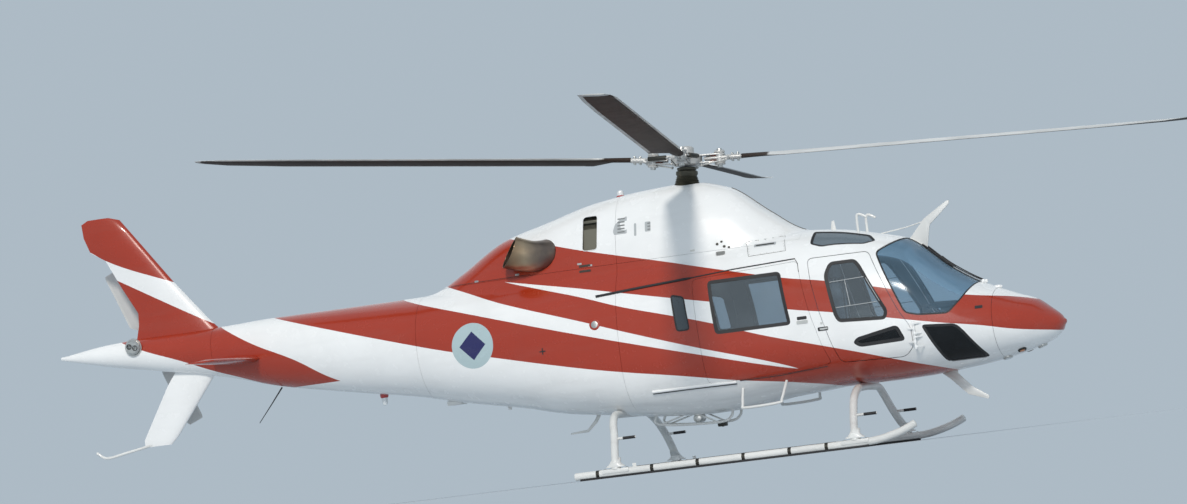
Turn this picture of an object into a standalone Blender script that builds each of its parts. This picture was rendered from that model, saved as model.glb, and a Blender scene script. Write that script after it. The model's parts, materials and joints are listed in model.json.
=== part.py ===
"""Light single-turbine helicopter on skids, for Blender 4.5. Metres, +Z up, nose along +X.

Stations are metres forward of the main rotor mast and heights are metres above the ground.
The airframe empty carries everything, and moves the mast so that the origin lies on the
ground under the middle of the whole helicopter. The right side is -Y.
"""

import math

import bmesh
import bpy
from mathutils import Matrix, Vector

SIDES = (("right", -1), ("left", 1))
# How far apart pieces lie that touch
SEAT_GAP = 0.0004

# The main rotor: its mast leans forward and a little to the left, about the hub's middle
MAST_X = 1.048
ROTOR_RADIUS = 5.415
ROTOR_Z = 3.27
MAST_LEAN_FORWARD = math.radians(4.7)
MAST_LEAN_LEFT = math.radians(2.5)
ROTOR_REST = math.radians(8)
CONING = math.radians(2.3)
BLADE_COUNT = 4
BLADE_CHORD = 0.335
BLADE_ROOT = 0.60
# Distance out, leading edge, trailing edge, thickness
BLADE_ROWS = (
    (BLADE_ROOT, -0.06, 0.06, 0.05), (0.80, -0.06, 0.07, 0.045),
    (1.05, -BLADE_CHORD / 4, BLADE_CHORD * 3 / 4, 0.038),
    (5.10, -BLADE_CHORD / 4, BLADE_CHORD * 3 / 4, 0.030),
    (ROTOR_RADIUS, -0.02, BLADE_CHORD * 3 / 4, 0.012),
)
HUB_RADIUS = 0.17
HUB_BOTTOM = -0.06
HUB_TOP = 0.08
CAP_RADIUS = 0.08
CAP_TOP = 0.15
MAST_RADIUS = 0.055
MAST_BORE = 0.065
MAST_HOLE = 0.17
HOUSING_FOOT = -0.60
HOUSING_TOP = -0.11
HOUSING_RADII = (0.15, 0.11)

# The tail rotor
TAIL_ROTOR_RADIUS = 0.97
TAIL_ROTOR_PLACE = Vector((-6.54, 0.42, 2.065))
TAIL_ROTOR_REST = math.radians(68.5)
TAIL_GEARBOX_RADIUS = 0.085
TAIL_BLADE_ROWS = (
    (0.1404, -0.03, 0.03, 0.03), (0.22, -0.03, 0.04, 0.03), (0.32, -0.05, 0.15, 0.024),
    (TAIL_ROTOR_RADIUS, -0.05, 0.15, 0.016),
)

# The hull: walls, decks and the stations where one panel ends and the next begins
WALL = 0.045
COWL_WALL = 0.030
REAR_WALL = 0.030
BOOM_WALL = 0.022
PANE = (0.008, 0.018)
DOOR_GAP = 0.010
DECK_Z = 2.25
CEILING_Z = 2.205
FLOOR_Z = (0.80, 0.84)
TAIL_TIP = -7.482
TAIL_SPLIT = -5.60
BOOM_SPLIT = -3.10
COWL_REAR = -2.95
CABIN_REAR = -0.75
COWL_FRONT = 1.25
NOSE_SPLIT = 3.22
NOSE_TIP = 3.885
# Half of a cutter that is wider and taller than the hull
BEYOND = 1.2
OVER_ALL = 3.4

# Engine, gearbox, exhausts and intakes
ENGINE_HALF = 0.22
ENGINE_ENDS = (-1.90, -0.80)
ENGINE_TOP = 2.62
GEARBOX_HALF = (0.28, 0.24)
GEARBOX_TOP = 2.74
EXHAUST_ROUTE = (
    (-1.55, 0.15, 2.45), (-1.58, 0.35, 2.45), (-1.70, 0.49, 2.455), (-1.90, 0.60, 2.52),
)
EXHAUST_RADIUS = 0.165
EXHAUST_BORE = 0.155
INTAKE_SLOT = ((-1.11, 0.3, 2.43), (-0.96, 0.8, 2.80))

# Cockpit door hinges
HINGE_X = 2.44
HINGE_Y = 0.80
HINGE_RADIUS = 0.013
HINGE_TALL = 0.05
HINGE_PLAY = 0.0006
HINGE_SKIN = 0.62
HINGE_HEIGHTS = (1.02, 1.16)

# Tail surfaces: height or distance out, leading edge, trailing edge, thickness
UPPER_FIN = (
    (2.05, -5.46, -6.58, 0.13), (2.30, -5.69, -6.51, 0.12), (2.44, -5.80, -6.50, 0.11),
    (2.74, -6.04, -6.66, 0.10), (3.07, -6.28, -6.82, 0.09), (3.18, -6.36, -6.99, 0.085),
    (3.35, -6.485, -7.05, 0.08), (3.50, -6.595, -7.06, 0.075), (3.54, -6.72, -6.98, 0.05),
)
LOWER_FIN = (
    (1.85, -5.51, -6.05, 0.10), (1.60, -5.72, -6.25, 0.09), (1.03, -6.19, -6.60, 0.07),
    (0.95, -6.28, -6.60, 0.05),
)
STABILISER = (
    (0.10, -5.00, -5.60, 0.075), (0.80, -5.07, -5.53, 0.06), (1.36, -5.12, -5.46, 0.045),
    (1.40, -5.17, -5.43, 0.02),
)
STABILISER_Z = 1.76
TAIL_SKID_ROUTE = ((-6.42, 0, 0.985), (-6.83, 0, 0.918), (-7.07, 0, 0.886), (-7.19, 0, 0.956))
TAIL_SKID_RADIUS = 0.016

# Landing gear. Half of each cross tube: distance out, height, how far it leans aft of the foot
SKID_Y = 1.125
SKID_RADIUS = 0.040
SKID_Z = 0.052
SKID_ROUTE = (
    (-1.317, SKID_Z), (1.85, SKID_Z), (2.02, 0.065), (2.20, 0.105), (2.32, 0.145), (2.42, 0.19),
)
SHOE = ((-1.25, -0.028, 0.0), (1.90, 0.028, 0.04))
SADDLE = (0.15, 0.05)
FOOT_TOP = 0.105
FRONT_FOOT = 1.76
REAR_FOOT = -0.85
FRONT_LEG = (
    (SKID_Y, FOOT_TOP + SEAT_GAP, 0.0), (SKID_Y, 0.15, 0.0), (1.00, 0.24, 0.03),
    (0.83, 0.38, 0.06), (0.66, 0.52, 0.08), (0.47, 0.61, 0.08), (0.25, 0.632, 0.08),
)
REAR_LEG = (
    (SKID_Y, FOOT_TOP + SEAT_GAP, 0.0), (SKID_Y, 0.15, 0.0), (1.05, 0.27, 0.015),
    (0.92, 0.43, 0.04), (0.79, 0.56, 0.075), (0.62, 0.645, 0.10), (0.40, 0.66, 0.10),
)
TUBE_RADIUS = 0.042
TUNNEL = ((-1.06, -BEYOND, 0.2), (-0.84, BEYOND, 0.66 + TUBE_RADIUS - 0.004))
TUNNEL_WALL = 0.06
PEG_RADIUS = 0.016
PEG_ENDS = (-0.06, 0.20)
STEP_RADIUS = 0.015
STEP_ROUTE = (
    (0.50, 0.60, 0.86), (0.51, 0.78, 0.60), (0.54, 0.80, 0.56), (0.90, 0.80, 0.57),
    (0.94, 0.78, 0.61), (0.98, 0.60, 0.86),
)

# Fittings: outlines by station and height
CUTTER_HALF = 0.012
UPPER_CUTTER = (
    (2.28, 2.05), (2.50, 1.95), (2.56, 2.24), (2.79, 2.43), (2.80, 2.48), (2.76, 2.47),
    (2.50, 2.31), (2.40, 2.20),
)
LOWER_CUTTER = (
    (2.42, 0.80), (2.70, 0.80), (2.66, 0.66), (2.80, 0.50), (2.97, 0.38), (2.96, 0.34),
    (2.75, 0.42), (2.58, 0.60),
)
HOOK_RAIL = ((-0.62, 0.66), (-0.60, 0.50), (0.04, 0.45), (0.20, 0.50), (0.22, 0.66))
HOOK_RAIL_Y = 0.17
HOOK_BARS = ((0.04, 0.45), (-0.58, 0.499))
HOOK_RADIUS = 0.014
HOOK_BLOCK = ((0.0, -0.05, 0.40), (0.09, 0.05, 0.47))

# Seats: front and back of each block, half its width, bottom and top; then its corner radius
CUSHION_Z = (1.10, 1.22)
BACK_Z = (1.12, 1.80)
BASE_TOP = 1.14
BENCH_BACK_Z = (1.14, 1.85)
SEAT_ROUND = 0.03

# Sections of the hull: station, keel, widest height, cabin roof, cowling top, half width,
# half width of the cowling, squareness. The cowling's lobe hides inside the cabin's where
# its top is the lower of the two.
SECTIONS = (
    (-7.482, 2.030, 2.046, 2.062, 2.00, 0.016, 0.005, 2.0),
    (-6.900, 1.887, 2.010, 2.135, 2.03, 0.110, 0.02, 2.0),
    (-6.330, 1.774, 1.970, 2.160, 2.05, 0.165, 0.04, 2.0),
    (-5.500, 1.600, 1.890, 2.170, 2.06, 0.235, 0.06, 2.0),
    (-4.900, 1.432, 1.815, 2.190, 2.06, 0.300, 0.08, 2.0),
    (-3.930, 1.237, 1.720, 2.192, 2.08, 0.425, 0.10, 2.1),
    (-3.300, 1.119, 1.650, 2.195, 2.13, 0.520, 0.15, 2.1),
    (-2.900, 1.020, 1.590, 2.205, 2.25, 0.585, 0.30, 2.2),
    (-2.630, 0.959, 1.550, 2.225, 2.39, 0.630, 0.40, 2.2),
    (-2.120, 0.854, 1.460, 2.260, 2.675, 0.700, 0.50, 2.3),
    (-1.610, 0.731, 1.380, 2.280, 2.81, 0.760, 0.56, 2.4),
    (-1.030, 0.647, 1.310, 2.320, 2.95, 0.805, 0.60, 2.5),
    (-0.500, 0.575, 1.270, 2.350, 3.01, 0.828, 0.61, 2.5),
    (0.000, 0.547, 1.250, 2.370, 3.03, 0.835, 0.61, 2.5),
    (0.420, 0.561, 1.250, 2.370, 2.93, 0.835, 0.59, 2.5),
    (0.870, 0.615, 1.250, 2.365, 2.60, 0.835, 0.55, 2.5),
    (1.120, 0.632, 1.250, 2.360, 2.414, 0.835, 0.50, 2.5),
    (1.580, 0.660, 1.250, 2.318, 2.20, 0.832, 0.30, 2.5),
    (2.000, 0.657, 1.250, 2.225, 2.00, 0.822, 0.20, 2.5),
    (2.330, 0.662, 1.240, 2.125, 1.90, 0.800, 0.20, 2.4),
    (2.745, 0.690, 1.200, 1.774, 1.60, 0.730, 0.15, 2.3),
    (3.030, 0.718, 1.160, 1.585, 1.40, 0.640, 0.10, 2.2),
    (3.420, 0.785, 1.110, 1.401, 1.30, 0.470, 0.05, 2.1),
    (3.607, 0.835, 1.080, 1.326, 1.20, 0.345, 0.05, 2.0),
    (3.747, 0.890, 1.060, 1.215, 1.10, 0.225, 0.04, 2.0),
    (3.840, 0.965, 1.050, 1.130, 1.06, 0.120, 0.03, 2.0),
    (3.885, 1.040, 1.054, 1.068, 1.05, 0.020, 0.005, 2.0),
)
LOFT_STATIONS = (
    -7.482, -7.2, -6.9, -6.33, -5.9, -5.5, -4.9, -4.4, -3.93, -3.6, -3.3, -3.1, -2.9, -2.63,
    -2.37, -2.12, -1.87, -1.61, -1.3, -1.03, -0.75, -0.5, -0.2, 0.1, 0.42, 0.65, 0.87, 1.12,
    1.35, 1.58, 1.8, 2.0, 2.17, 2.33, 2.54, 2.745, 2.89, 3.03, 3.22, 3.42, 3.607, 3.747,
    3.84, 3.885,
)
HALF_STEPS = 12
LOBE_BLEND = 0.03

# Outlines on the side, station and height, forward edge last
COCKPIT_DOOR = (
    (1.36, 2.03), (1.39, 1.80), (1.46, 1.45), (1.55, 1.11), (1.62, 0.90),
    (2.30, 0.88), (2.41, 0.98), (2.41, 1.18), (2.30, 1.37), (2.01, 2.03),
)
COCKPIT_WINDOW = (
    (1.54, 1.83), (1.62, 1.39), (1.66, 1.32), (2.16, 1.29), (2.19, 1.38), (1.93, 1.89),
    (1.87, 1.96), (1.60, 1.96),
)
LOWER_WINDOW = ((1.78, 1.09), (1.85, 1.04), (2.34, 1.05), (2.27, 1.22), (1.83, 1.14))
CABIN_DOOR = (
    (0.10, 1.97), (0.16, 0.85), (1.17, 0.87), (1.52, 0.91), (1.45, 1.11), (1.36, 1.45),
    (1.29, 1.80), (1.26, 2.02),
)
CABIN_WINDOW = ((0.27, 1.93), (0.32, 1.36), (1.15, 1.36), (1.07, 1.93))
QUARTER_WINDOW = ((-0.14, 1.84), (-0.10, 1.44), (0.05, 1.44), (0.01, 1.80))
WINDSCREEN = (
    (2.075, 2.01), (2.36, 1.33), (2.50, 1.29), (2.80, 1.27), (2.93, 1.40), (3.08, 1.62),
    (2.62, 2.20), (2.36, 2.16), (2.22, 2.09),
)
CHIN_WINDOW = ((2.51, 1.19), (2.69, 0.78), (3.12, 0.78), (2.93, 1.08), (2.86, 1.16))
# Outline of the roof window from above, station and distance from the middle
ROOF_WINDOW = (
    (1.38, 0.27), (1.38, 0.53), (1.50, 0.565), (1.95, 0.50), (2.06, 0.42), (1.97, 0.28),
)
CENTRE_POST = 0.035

FINISHES = {
    "white": ((0.88, 0.88, 0.87), 0.25, 0.0),
    "red": ((0.38, 0.055, 0.03), 0.30, 0.0),
    "glass": ((0.05, 0.07, 0.08), 0.05, 0.0),
    "dark": ((0.03, 0.03, 0.033), 0.55, 0.0),
    "metal": ((0.45, 0.44, 0.42), 0.40, 0.9),
    "bronze": ((0.35, 0.24, 0.15), 0.45, 0.9),
    "seat": ((0.30, 0.32, 0.35), 0.85, 0.0),
}


def clear_scene():
    for existing in list(bpy.data.objects):
        bpy.data.objects.remove(existing)


def new_collection(name):
    collection = bpy.data.collections.new(name)
    bpy.context.scene.collection.children.link(collection)
    return collection


def empty(name, location=(0, 0, 0), rotation=(0, 0, 0), parent=None):
    holder = bpy.data.objects.new(name, None)
    holder.location, holder.rotation_euler, holder.parent = location, rotation, parent
    PARTS.objects.link(holder)
    return holder


def add(name, mesh, finish="white", parent=None, helper=False):
    """An object from a mesh: a part with a material of its own, or a cutter."""
    part = bpy.data.objects.new(name, mesh)
    part.parent = parent or AIRFRAME
    if helper:
        CUTTERS.objects.link(part)
        part.hide_render, part.display_type = True, "WIRE"
        return part
    PARTS.objects.link(part)
    colour, roughness, metallic = FINISHES[finish]
    material = bpy.data.materials.new(name)
    material.use_nodes = True
    shader = material.node_tree.nodes["Principled BSDF"]
    shader.inputs["Base Color"].default_value = (*colour, 1)
    shader.inputs["Roughness"].default_value = roughness
    shader.inputs["Metallic"].default_value = metallic
    part.data.materials.clear()
    part.data.materials.append(material)
    mesh.shade_smooth()
    mesh.set_sharp_from_angle(angle=math.radians(35))
    return part


def mesh_of(name, shape):
    mesh = bpy.data.meshes.new(name)
    bmesh.ops.recalc_face_normals(shape, faces=shape.faces)
    shape.to_mesh(mesh)
    shape.free()
    return mesh


def boolean(part, operation, *others):
    for other in others:
        step = part.modifiers.new(f"{operation.lower()} {other.name}", "BOOLEAN")
        step.operation, step.object, step.solver = operation, other, "EXACT"
    return part


def column_at(station, column):
    """A column of the sections at any station, along a cubic that never overshoots."""
    rows = SECTIONS
    index = max(i for i in range(len(rows) - 1) if i == 0 or rows[i][0] <= station)
    slopes = []
    for i in (index, index + 1):
        if i in (0, len(rows) - 1):
            slopes.append(0.0 if i else rise(0, column))
            continue
        before, after = rise(i - 1, column), rise(i, column)
        level = before * after <= 0
        slopes.append(0.0 if level else 2 * before * after / (before + after))
    (x0, y0), (x1, y1) = ((rows[i][0], rows[i][column]) for i in (index, index + 1))
    span = x1 - x0
    t = min(max((station - x0) / span, 0.0), 1.0)
    return (
        y0 * (1 + 2 * t) * (1 - t) ** 2 + y1 * t * t * (3 - 2 * t)
        + span * (slopes[0] * t * (1 - t) ** 2 - slopes[1] * t * t * (1 - t))
    )


def rise(index, column):
    low, high = SECTIONS[index], SECTIONS[index + 1]
    return (high[column] - low[column]) / (high[0] - low[0])


def lobe(angle, half, tall, power):
    """Distance to a superellipse along a ray from its centre."""
    across, up = abs(math.cos(angle)) / half, abs(math.sin(angle)) / tall
    return (across**power + up**power) ** (-1 / power)


def hull_ring(station, inset=0.0):
    """The hull's section at a station, from the keel round by the left side."""
    keel, waist, roof, top, half, cowl_half, power = (
        column_at(station, column) for column in range(1, 8)
    )
    ring = []
    for step in range(2 * HALF_STEPS):
        turn = math.pi * (step / HALF_STEPS - 0.5)
        tall = waist - keel if math.sin(turn) < 0 else max(roof, top) - waist
        angle = math.atan2(tall * math.sin(turn), half * math.cos(turn))
        if math.sin(turn) < 0:
            reach = lobe(angle, half, tall, power)
        else:
            cabin = lobe(angle, half, roof - waist, power)
            cowl = lobe(angle, cowl_half, max(top - waist, 0.005), 2.5)
            blend = max(LOBE_BLEND - abs(cabin - cowl), 0) ** 2 / (4 * LOBE_BLEND)
            reach = max(cabin, cowl) + blend
        reach -= inset
        ring.append((station, reach * math.cos(angle), waist + reach * math.sin(angle)))
    return ring


def loft(name, rings):
    """A closed mesh through rings of as many points each, with flat ends."""
    shape = bmesh.new()
    rows = [[shape.verts.new(point) for point in ring] for ring in rings]
    count = len(rows[0])
    for low, high in zip(rows, rows[1:]):
        for i in range(count):
            j = (i + 1) % count
            shape.faces.new((low[i], low[j], high[j]))
            shape.faces.new((low[i], high[j], high[i]))
    for end in (rows[0], rows[-1]):
        shape.faces.new(end)
    return mesh_of(name, shape)


def hull(name, low, high, inset=0.0, every=1):
    """The hull between two stations, its sides inset, on every so many loft stations."""
    inner = [x for x in LOFT_STATIONS if low + 0.02 < x < high - 0.02][::every]
    return loft(name, [hull_ring(x, inset) for x in (low, *inner, high)])


def hull_cutter(name, low, high, inset, every=1):
    return add(name, hull(name, low, high, inset, every), helper=True)


def box_mesh(name, low, high, bevel=0.0):
    shape = bmesh.new()
    bmesh.ops.create_cube(shape, size=1)
    size = [b - a for a, b in zip(low, high)]
    middle = [(a + b) / 2 for a, b in zip(low, high)]
    bmesh.ops.scale(shape, vec=size, verts=shape.verts)
    bmesh.ops.translate(shape, vec=middle, verts=shape.verts)
    if bevel:
        bmesh.ops.bevel(
            shape, geom=shape.edges[:], offset=bevel, segments=2, profile=0.5,
            affect="EDGES",
        )
    return mesh_of(name, shape)


def box_cutter(name, low, high, bevel=0.0, parent=None):
    return add(name, box_mesh(name, low, high, bevel), helper=True, parent=parent)


def cylinder_mesh(name, middle, axis, radius, length, sides=16, top_radius=None):
    shape = bmesh.new()
    bmesh.ops.create_cone(
        shape, cap_ends=True, segments=sides, radius1=radius,
        radius2=radius if top_radius is None else top_radius, depth=length,
    )
    turn = Vector((0, 0, 1)).rotation_difference(Vector(axis)).to_matrix().to_4x4()
    bmesh.ops.transform(shape, matrix=Matrix.Translation(middle) @ turn, verts=shape.verts)
    return mesh_of(name, shape)


def cylinder_cutter(name, middle, axis, radius, length, sides=16, parent=None, top=None):
    mesh = cylinder_mesh(name, middle, axis, radius, length, sides, top)
    return add(name, mesh, helper=True, parent=parent)


def tube_mesh(name, points, radius, around=2):
    """A tube along a chain of points, as one welded mesh."""
    curve = bpy.data.curves.new(name, "CURVE")
    curve.dimensions, curve.bevel_depth = "3D", radius
    curve.bevel_resolution, curve.use_fill_caps = around, True
    spline = curve.splines.new("POLY")
    spline.points.add(len(points) - 1)
    for knot, point in zip(spline.points, points):
        knot.co = (*point, 1)
    guide = bpy.data.objects.new(name, curve)
    CUTTERS.objects.link(guide)
    bpy.context.view_layer.update()
    graph = bpy.context.evaluated_depsgraph_get()
    mesh = bpy.data.meshes.new_from_object(guide.evaluated_get(graph))
    bpy.data.objects.remove(guide)
    shape = bmesh.new()
    shape.from_mesh(mesh)
    bmesh.ops.remove_doubles(shape, verts=shape.verts, dist=0.00005)
    bmesh.ops.recalc_face_normals(shape, faces=shape.faces)
    shape.to_mesh(mesh)
    shape.free()
    mesh.name = name
    return mesh


def tube_cutter(name, points, radius, around=2, parent=None):
    return add(name, tube_mesh(name, points, radius, around), helper=True, parent=parent)


def smoothed(points, steps):
    """Points along a smooth curve through the given ones."""
    points = [Vector(point) for point in points]
    padded = [2 * points[0] - points[1], *points, 2 * points[-1] - points[-2]]
    chain = []
    for a, b, c, d in zip(padded, padded[1:], padded[2:], padded[3:]):
        for step in range(steps):
            t = step / steps
            chain.append(
                b + (c - a) * t / 2 + (2 * a - 5 * b + 4 * c - d) * t * t / 2
                + (3 * b - a - 3 * c + d) * t**3 / 2
            )
    return [*chain, points[-1]]


def moved_in(outline, distance):
    """An outline with every edge moved inwards, or outwards where the distance is negative."""
    points = [Vector(point) for point in outline]
    area = sum(a.cross(b) for a, b in zip(points, points[1:] + points[:1]))
    inwards = distance if area > 0 else -distance
    result = []
    for before, here, after in zip(points[-1:] + points[:-1], points, points[1:] + points[:1]):
        first, second = (here - before).normalized(), (after - here).normalized()
        normals = Vector((-first.y, first.x)), Vector((-second.y, second.x))
        middle = (normals[0] + normals[1]).normalized()
        result.append(here + middle * inwards / max(middle.dot(normals[0]), 0.3))
    return result


def rounded(outline, radius, steps=2):
    """An outline with its corners rounded, less where an edge is short."""
    points = [Vector(point) for point in outline]
    result = []
    for before, here, after in zip(points[-1:] + points[:-1], points, points[1:] + points[:1]):
        reach = min(radius, (before - here).length * 0.45, (after - here).length * 0.45)
        start = here + (before - here).normalized() * reach
        end = here + (after - here).normalized() * reach
        for step in range(steps + 1):
            t = step / steps
            result.append(start * (1 - t) ** 2 + here * 2 * t * (1 - t) + end * t * t)
    return result


def prism_mesh(name, outline, low, high, axis="Y"):
    """A straight prism of a flat outline, from low to high along Y or Z."""
    shape = bmesh.new()
    corners = [(p.x, low, p.y) if axis == "Y" else (p.x, p.y, low) for p in outline]
    face = shape.faces.new([shape.verts.new(corner) for corner in corners])
    grown = bmesh.ops.extrude_face_region(shape, geom=[face])
    lift = (0, high - low, 0) if axis == "Y" else (0, 0, high - low)
    bmesh.ops.translate(
        shape, vec=lift, verts=[v for v in grown["geom"] if isinstance(v, bmesh.types.BMVert)]
    )
    return mesh_of(name, shape)


def side_prism(name, outline, side, radius=0.05, inset=0.0, near=0.20, far=1.2):
    """A cutter through one side of the cabin, its outline moved in by the inset."""
    shaped = rounded(moved_in(outline, inset), max(radius - inset, 0.005))
    mesh = prism_mesh(name, shaped, *sorted((side * near, side * far)))
    return add(name, mesh, helper=True)


def roof_prism(name, side, inset=0.0):
    outline = [(x, side * y) for x, y in ROOF_WINDOW]
    shaped = rounded(moved_in(outline, inset), 0.03)
    return add(name, prism_mesh(name, shaped, 1.6, 2.7, "Z"), helper=True)


def pane(name, low, high, prism):
    """A window pane: a thin layer of the hull's skin inside the window's opening."""
    part = add(name, hull(name, low, high, PANE[0]), "glass")
    hollow = hull_cutter(f"{name}_inside", low - 0.1, high + 0.1, PANE[1])
    boolean(part, "DIFFERENCE", hollow)
    return boolean(part, "INTERSECT", prism)


def union(name, pieces, finish, parent=None):
    """One part from overlapping meshes."""
    part = add(name, pieces[0], finish, parent)
    others = [add(f"{name}_{i}", mesh, helper=True, parent=parent)
              for i, mesh in enumerate(pieces[1:], 1)]
    return boolean(part, "UNION", *others)


def foil_ring(place, span, lead, trail, thick):
    """A streamlined section: place turns span, chord and thickness into a point."""
    chord = trail - lead
    depths = ((0.0, 0.0), (0.04, 0.55), (0.15, 0.9), (0.35, 1.0), (0.65, 0.7), (1.0, 0.06))
    upper = [place(span, lead + x * chord, y * thick / 2) for x, y in depths]
    lower = [place(span, lead + x * chord, -y * thick / 2) for x, y in depths[1:]]
    return upper + lower[::-1]


def upright_point(span, chord, thick):
    return chord, thick, span


def tailplane_point(span, chord, thick):
    return chord, span, STABILISER_Z + thick


def rotor_point(span, chord, thick):
    """The rotor turns towards the left side at the nose, so its leading edge is at +Y there."""
    return span, -chord, thick


def tail_rotor_point(span, chord, thick):
    return span, thick, chord


def foil_mesh(name, rows, place):
    """A wing through rows of span, leading edge, trailing edge and thickness."""
    return loft(name, [foil_ring(place, *row) for row in rows])


def hinge_pieces(side, z):
    """The three knuckles of one door hinge: the door's and the frame's two, as meshes."""
    y = side * HINGE_Y
    near, far = sorted((side * HINGE_SKIN, y))
    half = HINGE_TALL / 2
    door = [
        cylinder_mesh("knuckle", (HINGE_X, y, z), (0, 0, 1), HINGE_RADIUS, HINGE_TALL, 12),
        box_mesh("lug", (HINGE_X - 0.075, near, z - half), (HINGE_X, far, z + half)),
    ]
    frame = []
    for way in (-1, 1):
        middle = z + way * (HINGE_TALL + HINGE_PLAY)
        frame += [
            cylinder_mesh("knuckle", (HINGE_X, y, middle), (0, 0, 1), HINGE_RADIUS, HINGE_TALL, 12),
            box_mesh("lug", (HINGE_X, near, middle - half), (HINGE_X + 0.06, far, middle + half)),
        ]
    return door, frame


def build_windows_and_doors(shell):
    """Cuts the cabin's openings and fills them with panes and doors."""
    for name, side in SIDES:
        windows = (
            ("windscreen", WINDSCREEN, 0.05, (1.9, 3.2), CENTRE_POST),
            ("chin_window", CHIN_WINDOW, 0.05, (2.4, 3.21), 0.20),
            ("rear_window", QUARTER_WINDOW, 0.04, (-0.3, 0.3), 0.20),
        )
        for window, outline, radius, (low, high), near in windows:
            label = f"{window}_{name}"
            hole = side_prism(f"{label}_hole", outline, side, radius, 0.0, near)
            boolean(shell, "DIFFERENCE", hole)
            fill = side_prism(f"{label}_fill", outline, side, radius, SEAT_GAP, near + SEAT_GAP)
            pane(label, low, high, fill)
        boolean(shell, "DIFFERENCE", roof_prism(f"roof_window_{name}_hole", side))
        pane(f"roof_window_{name}", 1.2, 2.3, roof_prism(f"roof_window_{name}_fill", side, SEAT_GAP))

        opening = side_prism(f"cockpit_opening_{name}", COCKPIT_DOOR, side, 0.06)
        boolean(shell, "DIFFERENCE", opening)
        door = door_panel(f"cockpit_door_{name}", COCKPIT_DOOR, side, DOOR_GAP, (1.2, 2.5))
        for window, outline in (("window", COCKPIT_WINDOW), ("lower_window", LOWER_WINDOW)):
            door_pane(door, f"cockpit_door_{window}_{name}", outline, side, (1.4, 2.45))
        add_hinges(name, side, door, shell)

        opening = side_prism(f"cabin_opening_{name}", CABIN_DOOR, side, 0.06)
        boolean(shell, "DIFFERENCE", opening)
        door = door_panel(f"cabin_door_{name}", CABIN_DOOR, side, SEAT_GAP, (0.0, 1.6))
        door_pane(door, f"cabin_door_window_{name}", CABIN_WINDOW, side, (0.1, 1.4))


def door_panel(name, outline, side, gap, span):
    door = add(name, hull(name, *span))
    boolean(door, "DIFFERENCE", hull_cutter(f"{name}_inside", span[0] - 0.1, span[1] + 0.1, WALL))
    return boolean(door, "INTERSECT", side_prism(f"{name}_edge", outline, side, 0.06, gap))


def door_pane(door, name, outline, side, span):
    boolean(door, "DIFFERENCE", side_prism(f"{name}_hole", outline, side, 0.05))
    pane(name, *span, side_prism(f"{name}_fill", outline, side, 0.05, SEAT_GAP))


def add_hinges(name, side, door, shell):
    for index, z in enumerate(HINGE_HEIGHTS):
        door_meshes, frame_meshes = hinge_pieces(side, z)
        inside = hull_cutter(f"hinge_trim_{name}_{index}", 2.2, 2.7, 0.02)
        beside = hull_cutter(f"hinge_side_{name}_{index}", HINGE_X - 0.045, 2.7, -0.006)
        for owner, meshes in ((door, door_meshes), (shell, frame_meshes)):
            for piece, mesh in enumerate(meshes):
                label = f"hinge_{name}_{index}_{owner.name}_{piece}"
                knuckle = add(label, mesh, helper=True)
                boolean(knuckle, "DIFFERENCE", beside if owner is door else inside)
                boolean(knuckle, "DIFFERENCE", inside)
                boolean(owner, "UNION", knuckle)


def build_fuselage():
    add("nose_cone", hull("nose_cone", NOSE_SPLIT + SEAT_GAP, NOSE_TIP))
    shell = add("cabin_shell", hull("cabin_shell", CABIN_REAR, NOSE_SPLIT))
    above_deck = box_cutter("above_deck", (-4, -BEYOND, DECK_Z), (COWL_FRONT, BEYOND, OVER_ALL))
    boolean(shell, "DIFFERENCE", above_deck)
    cavity = hull_cutter("cavity", CABIN_REAR + 0.05, NOSE_SPLIT - 0.05, WALL)
    over_ceiling = box_cutter("over_ceiling", (-1, -BEYOND, CEILING_Z), (1.6, BEYOND, OVER_ALL))
    boolean(cavity, "DIFFERENCE", over_ceiling)
    boolean(shell, "DIFFERENCE", cavity)
    build_windows_and_doors(shell)
    build_rear_fuselage()
    boom = add("tail_boom", hull("tail_boom", TAIL_SPLIT, BOOM_SPLIT - SEAT_GAP))
    inside = hull_cutter("boom_inside", TAIL_SPLIT - 0.1, BOOM_SPLIT + 0.1, BOOM_WALL, 2)
    boolean(boom, "DIFFERENCE", inside)
    tail = add("tail_cone", hull("tail_cone", TAIL_TIP, TAIL_SPLIT - SEAT_GAP))
    boolean(tail, "DIFFERENCE", hull_cutter("cone_inside", -6.3, TAIL_SPLIT + 0.1, BOOM_WALL, 2))
    middle = TAIL_ROTOR_PLACE - Vector((0, 0.4, 0))
    bore = cylinder_cutter("gearbox_bore", middle, (0, 1, 0), TAIL_GEARBOX_RADIUS + SEAT_GAP, 1.2)
    boolean(tail, "DIFFERENCE", bore)


def build_rear_fuselage():
    rear = add("rear_fuselage", hull("rear_fuselage", BOOM_SPLIT, CABIN_REAR - SEAT_GAP), "red")
    above = box_cutter("above_rear", (COWL_REAR, -BEYOND, DECK_Z), (COWL_FRONT, BEYOND, OVER_ALL))
    boolean(rear, "DIFFERENCE", above, box_cutter("cross_tube_tunnel", *TUNNEL))
    inside = hull_cutter("rear_inside", BOOM_SPLIT - 0.1, CABIN_REAR + 0.1, REAR_WALL, 2)
    (rear_end, _, _), (front_end, _, top) = TUNNEL
    over_tunnel = box_cutter(
        "over_tunnel", (rear_end - TUNNEL_WALL, -BEYOND, 0.2),
        (front_end + TUNNEL_WALL, BEYOND, top + TUNNEL_WALL),
    )
    under_deck = box_cutter("under_deck", (-4, -BEYOND, CEILING_Z), (0, BEYOND, OVER_ALL))
    boolean(inside, "DIFFERENCE", under_deck, over_tunnel)
    boolean(rear, "DIFFERENCE", inside)


def cowling(name, low, high):
    part = add(name, hull(name, low, high))
    lift = box_cutter(
        f"{name}_over", (low - 0.2, -BEYOND, DECK_Z + SEAT_GAP), (high + 0.2, BEYOND, OVER_ALL)
    )
    boolean(part, "INTERSECT", lift)
    return part


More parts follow.
